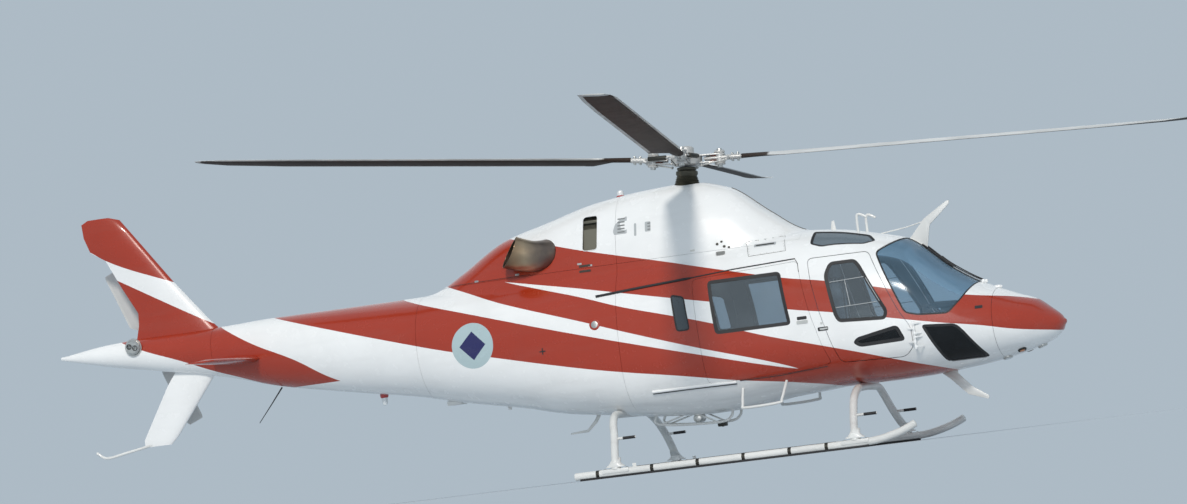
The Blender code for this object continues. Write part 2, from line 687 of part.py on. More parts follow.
def build_cowlings():
    front = cowling("gearbox_cowling", CABIN_REAR, COWL_FRONT)
    inside = hull_cutter("front_cowling_inside", CABIN_REAR - 0.1, 0.95, COWL_WALL)
    hole = cylinder_cutter("mast_hole", (0, 0, 3.0), (0, 0, 1), MAST_HOLE, 0.5, 24)
    boolean(front, "DIFFERENCE", inside, hole)
    rear = cowling("engine_cowling", COWL_REAR, CABIN_REAR - SEAT_GAP)
    inside = hull_cutter("rear_cowling_inside", -2.6, CABIN_REAR + 0.1, COWL_WALL)
    boolean(rear, "DIFFERENCE", inside)
    (x0, y0, z0), (x1, y1, z1) = INTAKE_SLOT
    for name, side in SIDES:
        near, far = sorted((side * y0, side * y1))
        slot = box_cutter(f"intake_slot_{name}", (x0, near, z0), (x1, far, z1), 0.02)
        boolean(rear, "DIFFERENCE", slot)
        build_exhaust(name, side, rear)


def build_exhaust(name, side, cowl):
    """The jet pipe: from the engine's side, out through the cowling and aft."""
    route = smoothed([(x, side * y, z) for x, y, z in EXHAUST_ROUTE], 3)
    pipe = add(f"exhaust_{name}", tube_mesh(f"exhaust_{name}", route, EXHAUST_RADIUS, 2), "bronze")
    past_end = route[-1] + (route[-1] - route[-2])
    bore = tube_cutter(f"exhaust_bore_{name}", [*route[2:], past_end], EXHAUST_BORE, 2)
    beside = box_cutter(f"beside_engine_{name}", (-2, -ENGINE_HALF - SEAT_GAP, 2),
                        (-1, ENGINE_HALF + SEAT_GAP, 3))
    boolean(pipe, "DIFFERENCE", bore, beside)
    hole = tube_cutter(f"exhaust_hole_{name}", [*route, past_end], EXHAUST_RADIUS + SEAT_GAP, 2)
    boolean(cowl, "DIFFERENCE", hole)


def build_power():
    """Plain blocks for the engine and gearbox, and the mast's housing on the gearbox."""
    floor = DECK_Z + SEAT_GAP
    engine = (ENGINE_ENDS[0], -ENGINE_HALF, floor), (ENGINE_ENDS[1], ENGINE_HALF, ENGINE_TOP)
    add("engine", box_mesh("engine", *engine), "metal")
    half_x, half_y = GEARBOX_HALF
    gearbox = (-half_x, -half_y, floor), (half_x, half_y, GEARBOX_TOP)
    add("main_gearbox", box_mesh("main_gearbox", *gearbox), "metal")
    middle, tall = (HOUSING_FOOT + HOUSING_TOP) / 2, HOUSING_TOP - HOUSING_FOOT
    foot, top = HOUSING_RADII
    cone = cylinder_mesh("mast_housing", (0, 0, middle), (0, 0, 1), foot, tall, 20, top)
    housing = add("mast_housing", cone, "dark", MAST_AXIS)
    bore = cylinder_cutter("mast_bore", (0, 0, middle), (0, 0, 1), MAST_BORE, 2 * tall, 20, MAST_AXIS)
    under = box_cutter("under_housing", (-0.3, -0.3, DECK_Z), (0.3, 0.3, GEARBOX_TOP + SEAT_GAP))
    boolean(housing, "DIFFERENCE", under, bore)


def build_fins():
    trim = hull_cutter("tail_trim", -7.4, -4.5, -SEAT_GAP)
    fin = add("upper_fin", foil_mesh("upper_fin", UPPER_FIN, upright_point), "red")
    boolean(fin, "DIFFERENCE", trim)
    fin = add("lower_fin", foil_mesh("lower_fin", LOWER_FIN, upright_point))
    route = smoothed(TAIL_SKID_ROUTE, 3)
    before = route[0] + (route[0] - route[1]).normalized() * SEAT_GAP
    slot = tube_cutter("tail_skid_slot", [before, *route[1:]], TAIL_SKID_RADIUS + SEAT_GAP, 1)
    boolean(fin, "DIFFERENCE", trim, slot)
    add("tail_skid", tube_mesh("tail_skid", route, TAIL_SKID_RADIUS, 1))
    for name, side in SIDES:
        rows = [(side * out, *rest) for out, *rest in STABILISER]
        label = f"stabiliser_{name}"
        boolean(add(label, foil_mesh(label, rows, tailplane_point), "red"), "DIFFERENCE", trim)


def build_main_rotor():
    """The mast, the head and the blades, in a frame whose Z is the leaning mast."""
    axis = empty("main_rotor_axis", (0, 0, 0), (0, 0, ROTOR_REST), MAST_AXIS)
    level = math.cos(MAST_LEAN_FORWARD) * math.cos(MAST_LEAN_LEFT)
    drop = MAST_RADIUS * math.sqrt(1 - level * level)
    low = -(ROTOR_Z - GEARBOX_TOP - SEAT_GAP - drop) / level
    high = HUB_BOTTOM - SEAT_GAP
    mast = cylinder_mesh("mast", (0, 0, (low + high) / 2), (0, 0, 1), MAST_RADIUS, high - low)
    add("mast", mast, "metal", axis)
    pieces = []
    for name, radius, low, high in (
        ("hub", HUB_RADIUS, HUB_BOTTOM, HUB_TOP), ("cap", CAP_RADIUS, HUB_TOP - 0.01, CAP_TOP),
    ):
        pieces.append(cylinder_mesh(name, (0, 0, (low + high) / 2), (0, 0, 1), radius, high - low, 20))
    for index in range(BLADE_COUNT):
        turn = Matrix.Rotation(index * math.tau / BLADE_COUNT, 4, "Z")
        turn = turn @ Matrix.Rotation(-CONING, 4, "Y")
        arm = (
            box_mesh("arm", (0.10, -0.055, -0.035), (BLADE_ROOT - SEAT_GAP, 0.055, 0.035)),
            cylinder_mesh("hinge", (0.36, 0, 0), (0, 0, 1), 0.062, 0.20, 12),
            cylinder_mesh("damper", (0.30, 0.12, 0.02), (1, 0.25, 0), 0.035, 0.24, 8),
            box_mesh("bracket", (0.26, 0.0, 0.0), (0.32, 0.12, 0.04)),
        )
        for mesh in arm:
            mesh.transform(turn)
        pieces += arm
    union("rotor_head", pieces, "metal", axis)
    for index in range(BLADE_COUNT):
        name = f"rotor_blade_{index + 1}"
        turned = (0, -CONING, index * math.tau / BLADE_COUNT)
        holder = empty(f"{name}_holder", rotation=turned, parent=axis)
        add(name, foil_mesh(name, BLADE_ROWS, rotor_point), "dark", holder)


def build_tail_rotor():
    place = TAIL_ROTOR_PLACE
    gearbox = [
        cylinder_mesh("case", (place.x, 0.03, place.z), (0, 1, 0), TAIL_GEARBOX_RADIUS, 0.46, 16),
        cylinder_mesh("collar", (place.x, 0.285, place.z), (0, 1, 0), 0.05, 0.06, 16),
    ]
    union("tail_rotor_gearbox", gearbox, "metal")
    axis = empty("tail_rotor_axis", place, (0, TAIL_ROTOR_REST, 0), AIRFRAME)
    hub = [
        cylinder_mesh("shaft", (0, -0.0098, 0), (0, 1, 0), 0.028, 0.19, 12),
        box_mesh("yoke", (-0.14, -0.03, -0.035), (0.14, 0.03, 0.035)),
        cylinder_mesh("nut", (0, 0.05, 0), (0, 1, 0), 0.045, 0.06, 12),
    ]
    union("tail_rotor_hub", hub, "metal", axis)
    for index in range(2):
        name = f"tail_rotor_blade_{index + 1}"
        holder = empty(f"{name}_holder", rotation=(0, index * math.pi, 0), parent=axis)
        add(name, foil_mesh(name, TAIL_BLADE_ROWS, tail_rotor_point), "white", holder)


def build_cross_tube(name, foot, leg, peg_height, peg_y, body):
    """An arch from skid to skid, in a groove of the body that rests on it."""
    left = [(foot - lean, y, z) for y, z, lean in leg]
    right = [(x, -y, z) for x, y, z in reversed(left)]
    route = [left[0], *smoothed(left[1:] + right[:-1], 2), right[-1]]
    groove = tube_cutter(f"{name}_groove", route, TUBE_RADIUS + SEAT_GAP)
    boolean(bpy.data.objects[body], "DIFFERENCE", groove)
    pieces = [tube_mesh(name, route, TUBE_RADIUS)]
    for _, side in SIDES:
        ends = [(foot + x, side * peg_y, peg_height) for x in PEG_ENDS]
        pieces.append(tube_mesh("peg", ends, PEG_RADIUS, 1))
    union(name, pieces, "white")


def build_skids():
    (shoe_rear, shoe_right, shoe_low), (shoe_front, shoe_left, shoe_top) = SHOE
    long, wide = SADDLE
    for name, side in SIDES:
        y = side * SKID_Y
        pieces = [tube_mesh("skid", [(x, y, z) for x, z in SKID_ROUTE], SKID_RADIUS)]
        shoe = (shoe_rear, y + shoe_right, shoe_low), (shoe_front, y + shoe_left, shoe_top)
        pieces.append(box_mesh("shoe", *shoe))
        for foot in (FRONT_FOOT, REAR_FOOT):
            saddle = (foot - long, y - wide, SKID_Z), (foot + long, y + wide, FOOT_TOP)
            pieces.append(box_mesh("saddle", *saddle))
        union(f"skid_{name}", pieces, "white")


def build_gear():
    build_cross_tube("front_cross_tube", FRONT_FOOT, FRONT_LEG, 0.34, 0.88, "cabin_shell")
    build_cross_tube("rear_cross_tube", REAR_FOOT, REAR_LEG, 0.40, 0.94, "rear_fuselage")
    build_skids()
    trim = hull_cutter("step_trim", 0.2, 1.5, -SEAT_GAP)
    for name, side in SIDES:
        route = [(x, side * y, z) for x, y, z in STEP_ROUTE]
        step = add(f"boarding_step_{name}", tube_mesh("step", route, STEP_RADIUS, 1))
        boolean(step, "DIFFERENCE", trim)


def build_fittings():
    trim = hull_cutter("fitting_trim", -1.5, 3.2, -SEAT_GAP)
    for name, outline in (("upper_wire_cutter", UPPER_CUTTER), ("lower_wire_cutter", LOWER_CUTTER)):
        points = [Vector(point) for point in outline]
        blade = add(name, prism_mesh(name, points, -CUTTER_HALF, CUTTER_HALF))
        boolean(blade, "DIFFERENCE", trim)
    rails = []
    for y in (-HOOK_RAIL_Y, HOOK_RAIL_Y):
        rails.append(tube_mesh("rail", [(x, y, z) for x, z in HOOK_RAIL], HOOK_RADIUS, 1))
    for x, z in HOOK_BARS:
        rails.append(tube_mesh("rail", [(x, -HOOK_RAIL_Y, z), (x, HOOK_RAIL_Y, z)], HOOK_RADIUS, 1))
    rails.append(box_mesh("hook", *HOOK_BLOCK))
    boolean(union("cargo_hook_frame", rails, "white"), "DIFFERENCE", trim)


def block(name, ends, y, half, heights, bevel=0.0):
    """A block of a seat or panel between two stations, half its width to each side of y."""
    low, high = (ends[0], y - half, heights[0]), (ends[1], y + half, heights[1])
    return box_mesh(name, low, high, bevel)


def build_bench(name, cushion, back, base, half):
    """A bench seat as wide as the cabin."""
    pieces = [
        block("cushion", cushion, 0, half, CUSHION_Z, SEAT_ROUND),
        block("back", back, 0, half - 0.02, BENCH_BACK_Z, SEAT_ROUND),
        block("base", base, 0, half - 0.12, (FLOOR_Z[1] + SEAT_GAP, BASE_TOP)),
    ]
    union(name, pieces, "seat")


def build_interior():
    floor = box_mesh("cabin_floor", (-0.69, -1, FLOOR_Z[0]), (3.05, 1, FLOOR_Z[1]))
    edge = hull_cutter("floor_edge", -0.9, 3.3, WALL + 0.001)
    boolean(add("cabin_floor", floor, "dark"), "INTERSECT", edge)
    top = FLOOR_Z[1] + SEAT_GAP
    for name, side in (("pilot_seat", -1), ("copilot_seat", 1)):
        y = side * 0.36
        union(name, [
            block("cushion", (1.42, 1.92), y, 0.22, CUSHION_Z, SEAT_ROUND),
            block("back", (1.34, 1.46), y, 0.22, BACK_Z, SEAT_ROUND),
            block("base", (1.46, 1.84), y, 0.16, (top, BASE_TOP)),
            block("head", (1.33, 1.43), y, 0.13, (1.76, 1.98), SEAT_ROUND),
        ], "seat")
    build_bench("rear_seats", (-0.62, -0.10), (-0.68, -0.55), (-0.60, -0.20), 0.62)
    build_bench("middle_seats", (0.80, 1.25), (1.18, 1.30), (0.88, 1.22), 0.62)
    union("instrument_panel", [
        block("panel", (2.62, 2.80), 0, 0.42, (1.02, 1.38), 0.02),
        block("shield", (2.52, 2.84), 0, 0.44, (1.34, 1.42), 0.02),
        block("pedestal", (2.10, 2.76), 0, 0.11, (top, 1.10)),
    ], "dark")


clear_scene()
PARTS = new_collection("helicopter")
CUTTERS = new_collection("cutters")
AIRFRAME = empty("airframe", (MAST_X, 0, 0))
MAST_AXIS = empty("mast_axis", (0, 0, ROTOR_Z), (-MAST_LEAN_LEFT, MAST_LEAN_FORWARD, 0), AIRFRAME)
build_fuselage()
build_cowlings()
build_power()
build_fins()
build_main_rotor()
build_tail_rotor()
build_gear()
build_fittings()
build_interior()
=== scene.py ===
"""Looks of a light single-turbine helicopter on skids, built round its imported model.

Shapes are made in the mast's frame: metres, the main rotor mast at x 0, the ground at z 0,
the nose along +X and the right side at -Y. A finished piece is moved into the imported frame.
"""

from __future__ import annotations

import json
import logging
import math
from collections.abc import Callable, Iterable, Sequence
from dataclasses import dataclass, field
from enum import Enum

import bmesh
import bpy
import numpy as np
from mathutils import Matrix, Quaternion, Vector

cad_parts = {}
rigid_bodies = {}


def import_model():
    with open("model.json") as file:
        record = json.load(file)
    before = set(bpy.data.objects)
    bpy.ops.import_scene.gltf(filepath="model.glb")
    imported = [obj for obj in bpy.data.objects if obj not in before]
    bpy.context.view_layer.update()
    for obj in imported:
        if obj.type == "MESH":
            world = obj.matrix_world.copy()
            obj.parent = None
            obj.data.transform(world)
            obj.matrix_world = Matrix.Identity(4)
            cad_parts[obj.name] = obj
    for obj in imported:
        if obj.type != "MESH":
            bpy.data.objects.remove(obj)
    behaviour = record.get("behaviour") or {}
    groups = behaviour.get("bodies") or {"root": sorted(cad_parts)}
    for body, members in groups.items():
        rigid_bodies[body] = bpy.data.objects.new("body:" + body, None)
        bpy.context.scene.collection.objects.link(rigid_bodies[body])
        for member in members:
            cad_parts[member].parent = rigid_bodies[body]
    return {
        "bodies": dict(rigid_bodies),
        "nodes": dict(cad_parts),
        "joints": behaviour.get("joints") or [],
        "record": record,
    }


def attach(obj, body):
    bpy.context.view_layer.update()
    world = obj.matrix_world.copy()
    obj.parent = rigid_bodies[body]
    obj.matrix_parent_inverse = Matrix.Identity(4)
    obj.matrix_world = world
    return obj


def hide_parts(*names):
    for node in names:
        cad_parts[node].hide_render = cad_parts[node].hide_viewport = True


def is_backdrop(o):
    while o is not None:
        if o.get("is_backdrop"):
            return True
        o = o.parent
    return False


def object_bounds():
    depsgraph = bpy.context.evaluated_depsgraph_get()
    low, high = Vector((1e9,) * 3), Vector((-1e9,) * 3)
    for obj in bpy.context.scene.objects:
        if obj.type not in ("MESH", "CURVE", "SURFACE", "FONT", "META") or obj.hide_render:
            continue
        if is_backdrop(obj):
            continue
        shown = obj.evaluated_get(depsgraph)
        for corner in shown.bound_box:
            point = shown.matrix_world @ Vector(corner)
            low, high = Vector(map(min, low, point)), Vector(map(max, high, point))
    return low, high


Point = Sequence[float]
Outline = Sequence[tuple[float, float]]
Colour = tuple[float, float, float]

LOG = logging.getLogger("helicopter")
FRAME: dict[str, object] = {}
MAST_X = 1.048
MERGE = 0.00001
HALF_SEAM = 0.0015
DECK_Z = 2.25
NOSE_SPLIT = 3.22
CABIN_REAR = -0.75
COWL_REAR = -2.95
COWL_FRONT = 1.25
BOOM_SPLIT = -3.10
TAIL_SPLIT = -5.60
TAIL_TIP = -7.482
NOSE_TIP = 3.885

# Sections of the hull: station, keel, widest height, cabin roof, cowling top, half width,
# half width of the cowling, squareness.
SECTIONS = (
    (-7.482, 2.030, 2.046, 2.062, 2.00, 0.016, 0.005, 2.0),
    (-6.900, 1.887, 2.010, 2.135, 2.03, 0.110, 0.02, 2.0),
    (-6.330, 1.774, 1.970, 2.160, 2.05, 0.165, 0.04, 2.0),
    (-5.500, 1.600, 1.890, 2.170, 2.06, 0.235, 0.06, 2.0),
    (-4.900, 1.432, 1.815, 2.190, 2.06, 0.300, 0.08, 2.0),
    (-3.930, 1.237, 1.720, 2.192, 2.08, 0.425, 0.10, 2.1),
    (-3.300, 1.119, 1.650, 2.195, 2.13, 0.520, 0.15, 2.1),
    (-2.900, 1.020, 1.590, 2.205, 2.25, 0.585, 0.30, 2.2),
    (-2.630, 0.959, 1.550, 2.225, 2.39, 0.630, 0.40, 2.2),
    (-2.120, 0.854, 1.460, 2.260, 2.675, 0.700, 0.50, 2.3),
    (-1.610, 0.731, 1.380, 2.280, 2.81, 0.760, 0.56, 2.4),
    (-1.030, 0.647, 1.310, 2.320, 2.95, 0.805, 0.60, 2.5),
    (-0.500, 0.575, 1.270, 2.350, 3.01, 0.828, 0.61, 2.5),
    (0.000, 0.547, 1.250, 2.370, 3.03, 0.835, 0.61, 2.5),
    (0.420, 0.561, 1.250, 2.370, 2.93, 0.835, 0.59, 2.5),
    (0.870, 0.615, 1.250, 2.365, 2.60, 0.835, 0.55, 2.5),
    (1.120, 0.632, 1.250, 2.360, 2.414, 0.835, 0.50, 2.5),
    (1.580, 0.660, 1.250, 2.318, 2.20, 0.832, 0.30, 2.5),
    (2.000, 0.657, 1.250, 2.225, 2.00, 0.822, 0.20, 2.5),
    (2.330, 0.662, 1.240, 2.125, 1.90, 0.800, 0.20, 2.4),
    (2.745, 0.690, 1.200, 1.774, 1.60, 0.730, 0.15, 2.3),
    (3.030, 0.718, 1.160, 1.585, 1.40, 0.640, 0.10, 2.2),
    (3.420, 0.785, 1.110, 1.401, 1.30, 0.470, 0.05, 2.1),
    (3.607, 0.835, 1.080, 1.326, 1.20, 0.345, 0.05, 2.0),
    (3.747, 0.890, 1.060, 1.215, 1.10, 0.225, 0.04, 2.0),
    (3.840, 0.965, 1.050, 1.130, 1.06, 0.120, 0.03, 2.0),
    (3.885, 1.040, 1.054, 1.068, 1.05, 0.020, 0.005, 2.0),
)


class Side(Enum):
    """A side of the helicopter, by the sign of Y there."""

    RIGHT = -1
    LEFT = 1

    @property
    def label(self) -> str:
        """The side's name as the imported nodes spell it."""
        return self.name.lower()


class Wire:
    """A socket of a material's nodes that does arithmetic by adding Math nodes."""

    def __init__(self, recipe: Recipe, socket: bpy.types.NodeSocket) -> None:
        """Wraps a socket.

        Args:
            recipe: The material's nodes.
            socket: The output to wrap.
        """
        self.recipe = recipe
        self.socket = socket

    def math(
        self, operation: str, *others: Wire | float, first: Wire | float | None = None
    ) -> Wire:
        """A Math node on this value.

        Args:
            operation: The node's operation.
            others: The further inputs.
            first: What stands before this value, if anything does.

        Returns:
            The node's result.
        """
        values = (self, *others) if first is None else (first, self, *others)
        return self.recipe.node("ShaderNodeMath", {"operation": operation}, dict(enumerate(values)))

    def __add__(self, other: Wire | float) -> Wire:
        """Sum."""
        return self.math("ADD", other)

    def __radd__(self, other: float) -> Wire:
        """Sum, this value second."""
        return self.math("ADD", other)

    def __sub__(self, other: Wire | float) -> Wire:
        """Difference."""
        return self.math("SUBTRACT", other)

    def __rsub__(self, other: float) -> Wire:
        """Difference, this value second."""
        return self.math("SUBTRACT", first=other)

    def __mul__(self, other: Wire | float) -> Wire:
        """Product."""
        return self.math("MULTIPLY", other)

    def __rmul__(self, other: float) -> Wire:
        """Product, this value second."""
        return self.math("MULTIPLY", other)

    def __truediv__(self, other: Wire | float) -> Wire:
        """Quotient."""
        return self.math("DIVIDE", other)

    def rising(self, low: float, high: float) -> Wire:
        """A smooth step from 0 at low to 1 at high.

        Args:
            low: Where it starts.
            high: Where it ends.

        Returns:
            The step.
        """
        return self.recipe.node(
            "ShaderNodeMapRange",
            {"interpolation_type": "SMOOTHSTEP"},
            {"Value": self, "From Min": low, "From Max": high},
        )

    def over(self, other: Wire | float, blur: float = 0.0012) -> Wire:
        """1 where this value is above the other, 0 where it is below."""
        return (self - other).rising(-blur, blur)


class Recipe:
    """The nodes of one material."""

    def __init__(self, name: str) -> None:
        """Starts a material.

        Args:
            name: The material's name.
        """
        self.material = bpy.data.materials.new(name)
        self.material.use_nodes = True
        self.tree = self.material.node_tree
        self.shader = self.tree.nodes["Principled BSDF"]

    def feed(self, socket: bpy.types.NodeSocket, value: object) -> None:
        """Links a wire to a socket, or sets the socket's own value.

        Args:
            socket: The input.
            value: A wire, a number, a colour or a vector.
        """
        if isinstance(value, Wire):
            self.tree.links.new(value.socket, socket)
        elif socket.type == "RGBA":
            socket.default_value = (*value, 1)
        else:
            socket.default_value = value

    def node(
        self,
        kind: str,
        settings: dict[str, object] | None = None,
        sockets: dict[int | str, object] | None = None,
        output: int | str = 0,
    ) -> Wire:
        """Adds any node.

        Args:
            kind: The node's type.
            settings: Its properties, with "stops" for a ramp's and "curve" for a float curve's.
            sockets: The values or wires of its inputs.
            output: Which output to return.

        Returns:
            The output.
        """
        made = self.tree.nodes.new(kind)
        for key, value in (settings or {}).items():
            if key == "stops":
                self._set_stops(made, value)
            elif key == "curve":
                self._set_curve(made, value)
            else:
                setattr(made, key, value)
        for key, value in (sockets or {}).items():
            self.feed(made.inputs[key], value)
        return Wire(self, made.outputs[output])

    @staticmethod
    def _set_stops(made: bpy.types.Node, stops: Sequence[tuple[float, Colour]]) -> None:
        """Writes a colour ramp's stops.

        Args:
            made: The node.
            stops: Each stop's place and colour.
        """
        ramp = made.color_ramp
        while len(ramp.elements) < len(stops):
            ramp.elements.new(0.5)
        for element, (place, colour) in zip(ramp.elements, stops):
            element.position = place
            element.color = (*colour, 1)

    @staticmethod
    def _set_curve(made: bpy.types.Node, points: Outline) -> None:
        """Writes a float curve's points.

        Args:
            made: The node.
            points: The curve's points.
        """
        made.mapping.extend = "HORIZONTAL"
        knots = made.mapping.curves[0].points
        for place, value in points[1:-1]:
            knots.new(place, value)
        knots[0].location = points[0]
        knots[len(knots) - 1].location = points[-1]
        made.mapping.update()

    def place(self) -> tuple[Wire, Wire, Wire]:
        """The surface point's x, y and z in the mast's frame.

        Returns:
            The three numbers.
        """
        point = self.node("ShaderNodeTexCoord", output="Object")
        axes = [
            self.node("ShaderNodeSeparateXYZ", sockets={0: point}, output=axis) for axis in range(3)
        ]
        return axes[0] - MAST_X, axes[1], axes[2]

    def mark(self, name: str) -> Wire:
        """A number that the mesh carries at its points."""
        return self.node("ShaderNodeAttribute", {"attribute_name": name}, output="Fac")

    def noise(self, scale: float, detail: float = 4, stretch: Point = (1, 1, 1)) -> Wire:
        """Noise over the piece's own coordinates.

        Args:
            scale: How many lumps there are to a metre.
            detail: How many finer layers lie on it.
            stretch: How much closer the lumps lie along each axis.

        Returns:
            A value round 0.5.
        """
        point = self.node("ShaderNodeTexCoord", output="Object")
        drawn = self.node("ShaderNodeMapping", sockets={"Vector": point, "Scale": stretch})
        return self.node(
            "ShaderNodeTexNoise", sockets={"Vector": drawn, "Scale": scale, "Detail": detail}
        )

    def edge(self, along: Wire, points: Outline) -> Wire:
        """The height of a line, drawn through points, at a place along it.

        Args:
            along: The place along it.
            points: The line's points.

        Returns:
            The height there.
        """
        low, high = points[0][0], points[-1][0]
        bottom = min(value for _, value in points)
        tall = max(value for _, value in points) - bottom
        scaled = [((x - low) / (high - low), (z - bottom) / tall) for x, z in points]
        share = (along - low) / (high - low)
        return self.node("ShaderNodeFloatCurve", {"curve": scaled}, {"Value": share}) * tall + bottom

    def mix(self, factor: Wire | float, first: object, second: object) -> Wire:
        """A colour between two.

        Args:
            factor: The second one's share.
            first: One colour.
            second: The other.

        Returns:
            The mixture.
        """
        return self.node(
            "ShaderNodeMix", {"data_type": "RGBA"}, {0: factor, 6: first, 7: second}, output=2
        )

    def bump(self, height: Wire, distance: float) -> None:
        """Lets a height shape the surface."""
        normal = self.node("ShaderNodeBump", sockets={"Height": height, "Distance": distance})
        self.feed(self.shader.inputs["Normal"], normal)

    def set(self, **values: object) -> None:
        """Feeds inputs of the shader, their names with underscores."""
        for name, value in values.items():
            self.feed(self.shader.inputs[name.replace("_", " ")], value)


@dataclass(frozen=True)
class Finish:
    """A surface with the small faults that a real one has.

    Attributes:
        name: What the finish is called.
        colour: Its plain colour.
        roughness: How dull it is.
        metallic: 1 for bare metal.
        coat: How much clear lacquer lies on it.
        mottle: How far the colour wanders.
        grain: How many lumps of relief there are to a metre.
        relief: How deep the relief is.
    """

    name: str
    colour: Colour
    roughness: float = 0.4
    metallic: float = 0.0
    coat: float = 0.0
    mottle: float = 0.12
    grain: float = 60.0
    relief: float = 0.0004

    @property
    def title(self) -> str:
        """The material's name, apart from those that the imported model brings."""
        return f"{self.name}_finish"

    def material(self) -> bpy.types.Material:
        """The material, made the first time it is asked for.

        Returns:
            The material.
        """
        known = bpy.data.materials.get(self.title)
        if known:
            return known
        recipe = Recipe(self.title)
        recipe.set(Metallic=self.metallic, Coat_Weight=self.coat, Coat_Roughness=0.06)
        recipe.set(Base_Color=self.tone(recipe, self.hue(recipe)))
        recipe.set(Roughness=self.gloss(recipe))
        recipe.bump(self.height(recipe), self.relief)
        self.finish_off(recipe)
        return recipe.material

    def hue(self, recipe: Recipe) -> object:
        """The colour before it wanders."""
        return self.colour

    def tone(self, recipe: Recipe, hue: object) -> Wire:
        """The colour with its uneven shade and a film of dust.

        Args:
            recipe: The material's nodes.
            hue: The colour so far.

        Returns:
            The colour as it is used.
        """
        cloud = recipe.noise(2.3, 6).rising(0.3, 0.75)
        shade = 1 - self.mottle * cloud
        grey = recipe.node("ShaderNodeCombineColor", sockets={0: shade, 1: shade, 2: shade})
        return recipe.node(
            "ShaderNodeMix",
            {"data_type": "RGBA", "blend_type": "MULTIPLY"},
            {0: 1.0, 6: hue, 7: grey},
            output=2,
        )

    def gloss(self, recipe: Recipe) -> Wire:
        """The roughness, higher where the surface is worn."""
        return self.roughness + 0.12 * (recipe.noise(9, 5) - 0.5)

    def height(self, recipe: Recipe) -> Wire:
        """The relief."""
        return recipe.noise(self.grain, 3)

    def finish_off(self, recipe: Recipe) -> None:
        """What is left to set."""


class Paint(Finish):
    """Lacquered paint with faint orange peel and a little grime under the belly."""

    def tone(self, recipe: Recipe, hue: object) -> Wire:
        """The colour with streaks of grime that run aft along the belly.

        Args:
            recipe: The material's nodes.
            hue: The colour so far.

        Returns:
            The colour as it is used.
        """
        _, _, height = recipe.place()
        streak = recipe.noise(3, 6, (0.5, 2.5, 3)).rising(0.45, 0.8)
        low = 1 - height.rising(0.5, 1.2)
        dirty = streak * (0.05 + 0.20 * low)
        return recipe.mix(dirty, super().tone(recipe, hue), (0.20, 0.19, 0.17))


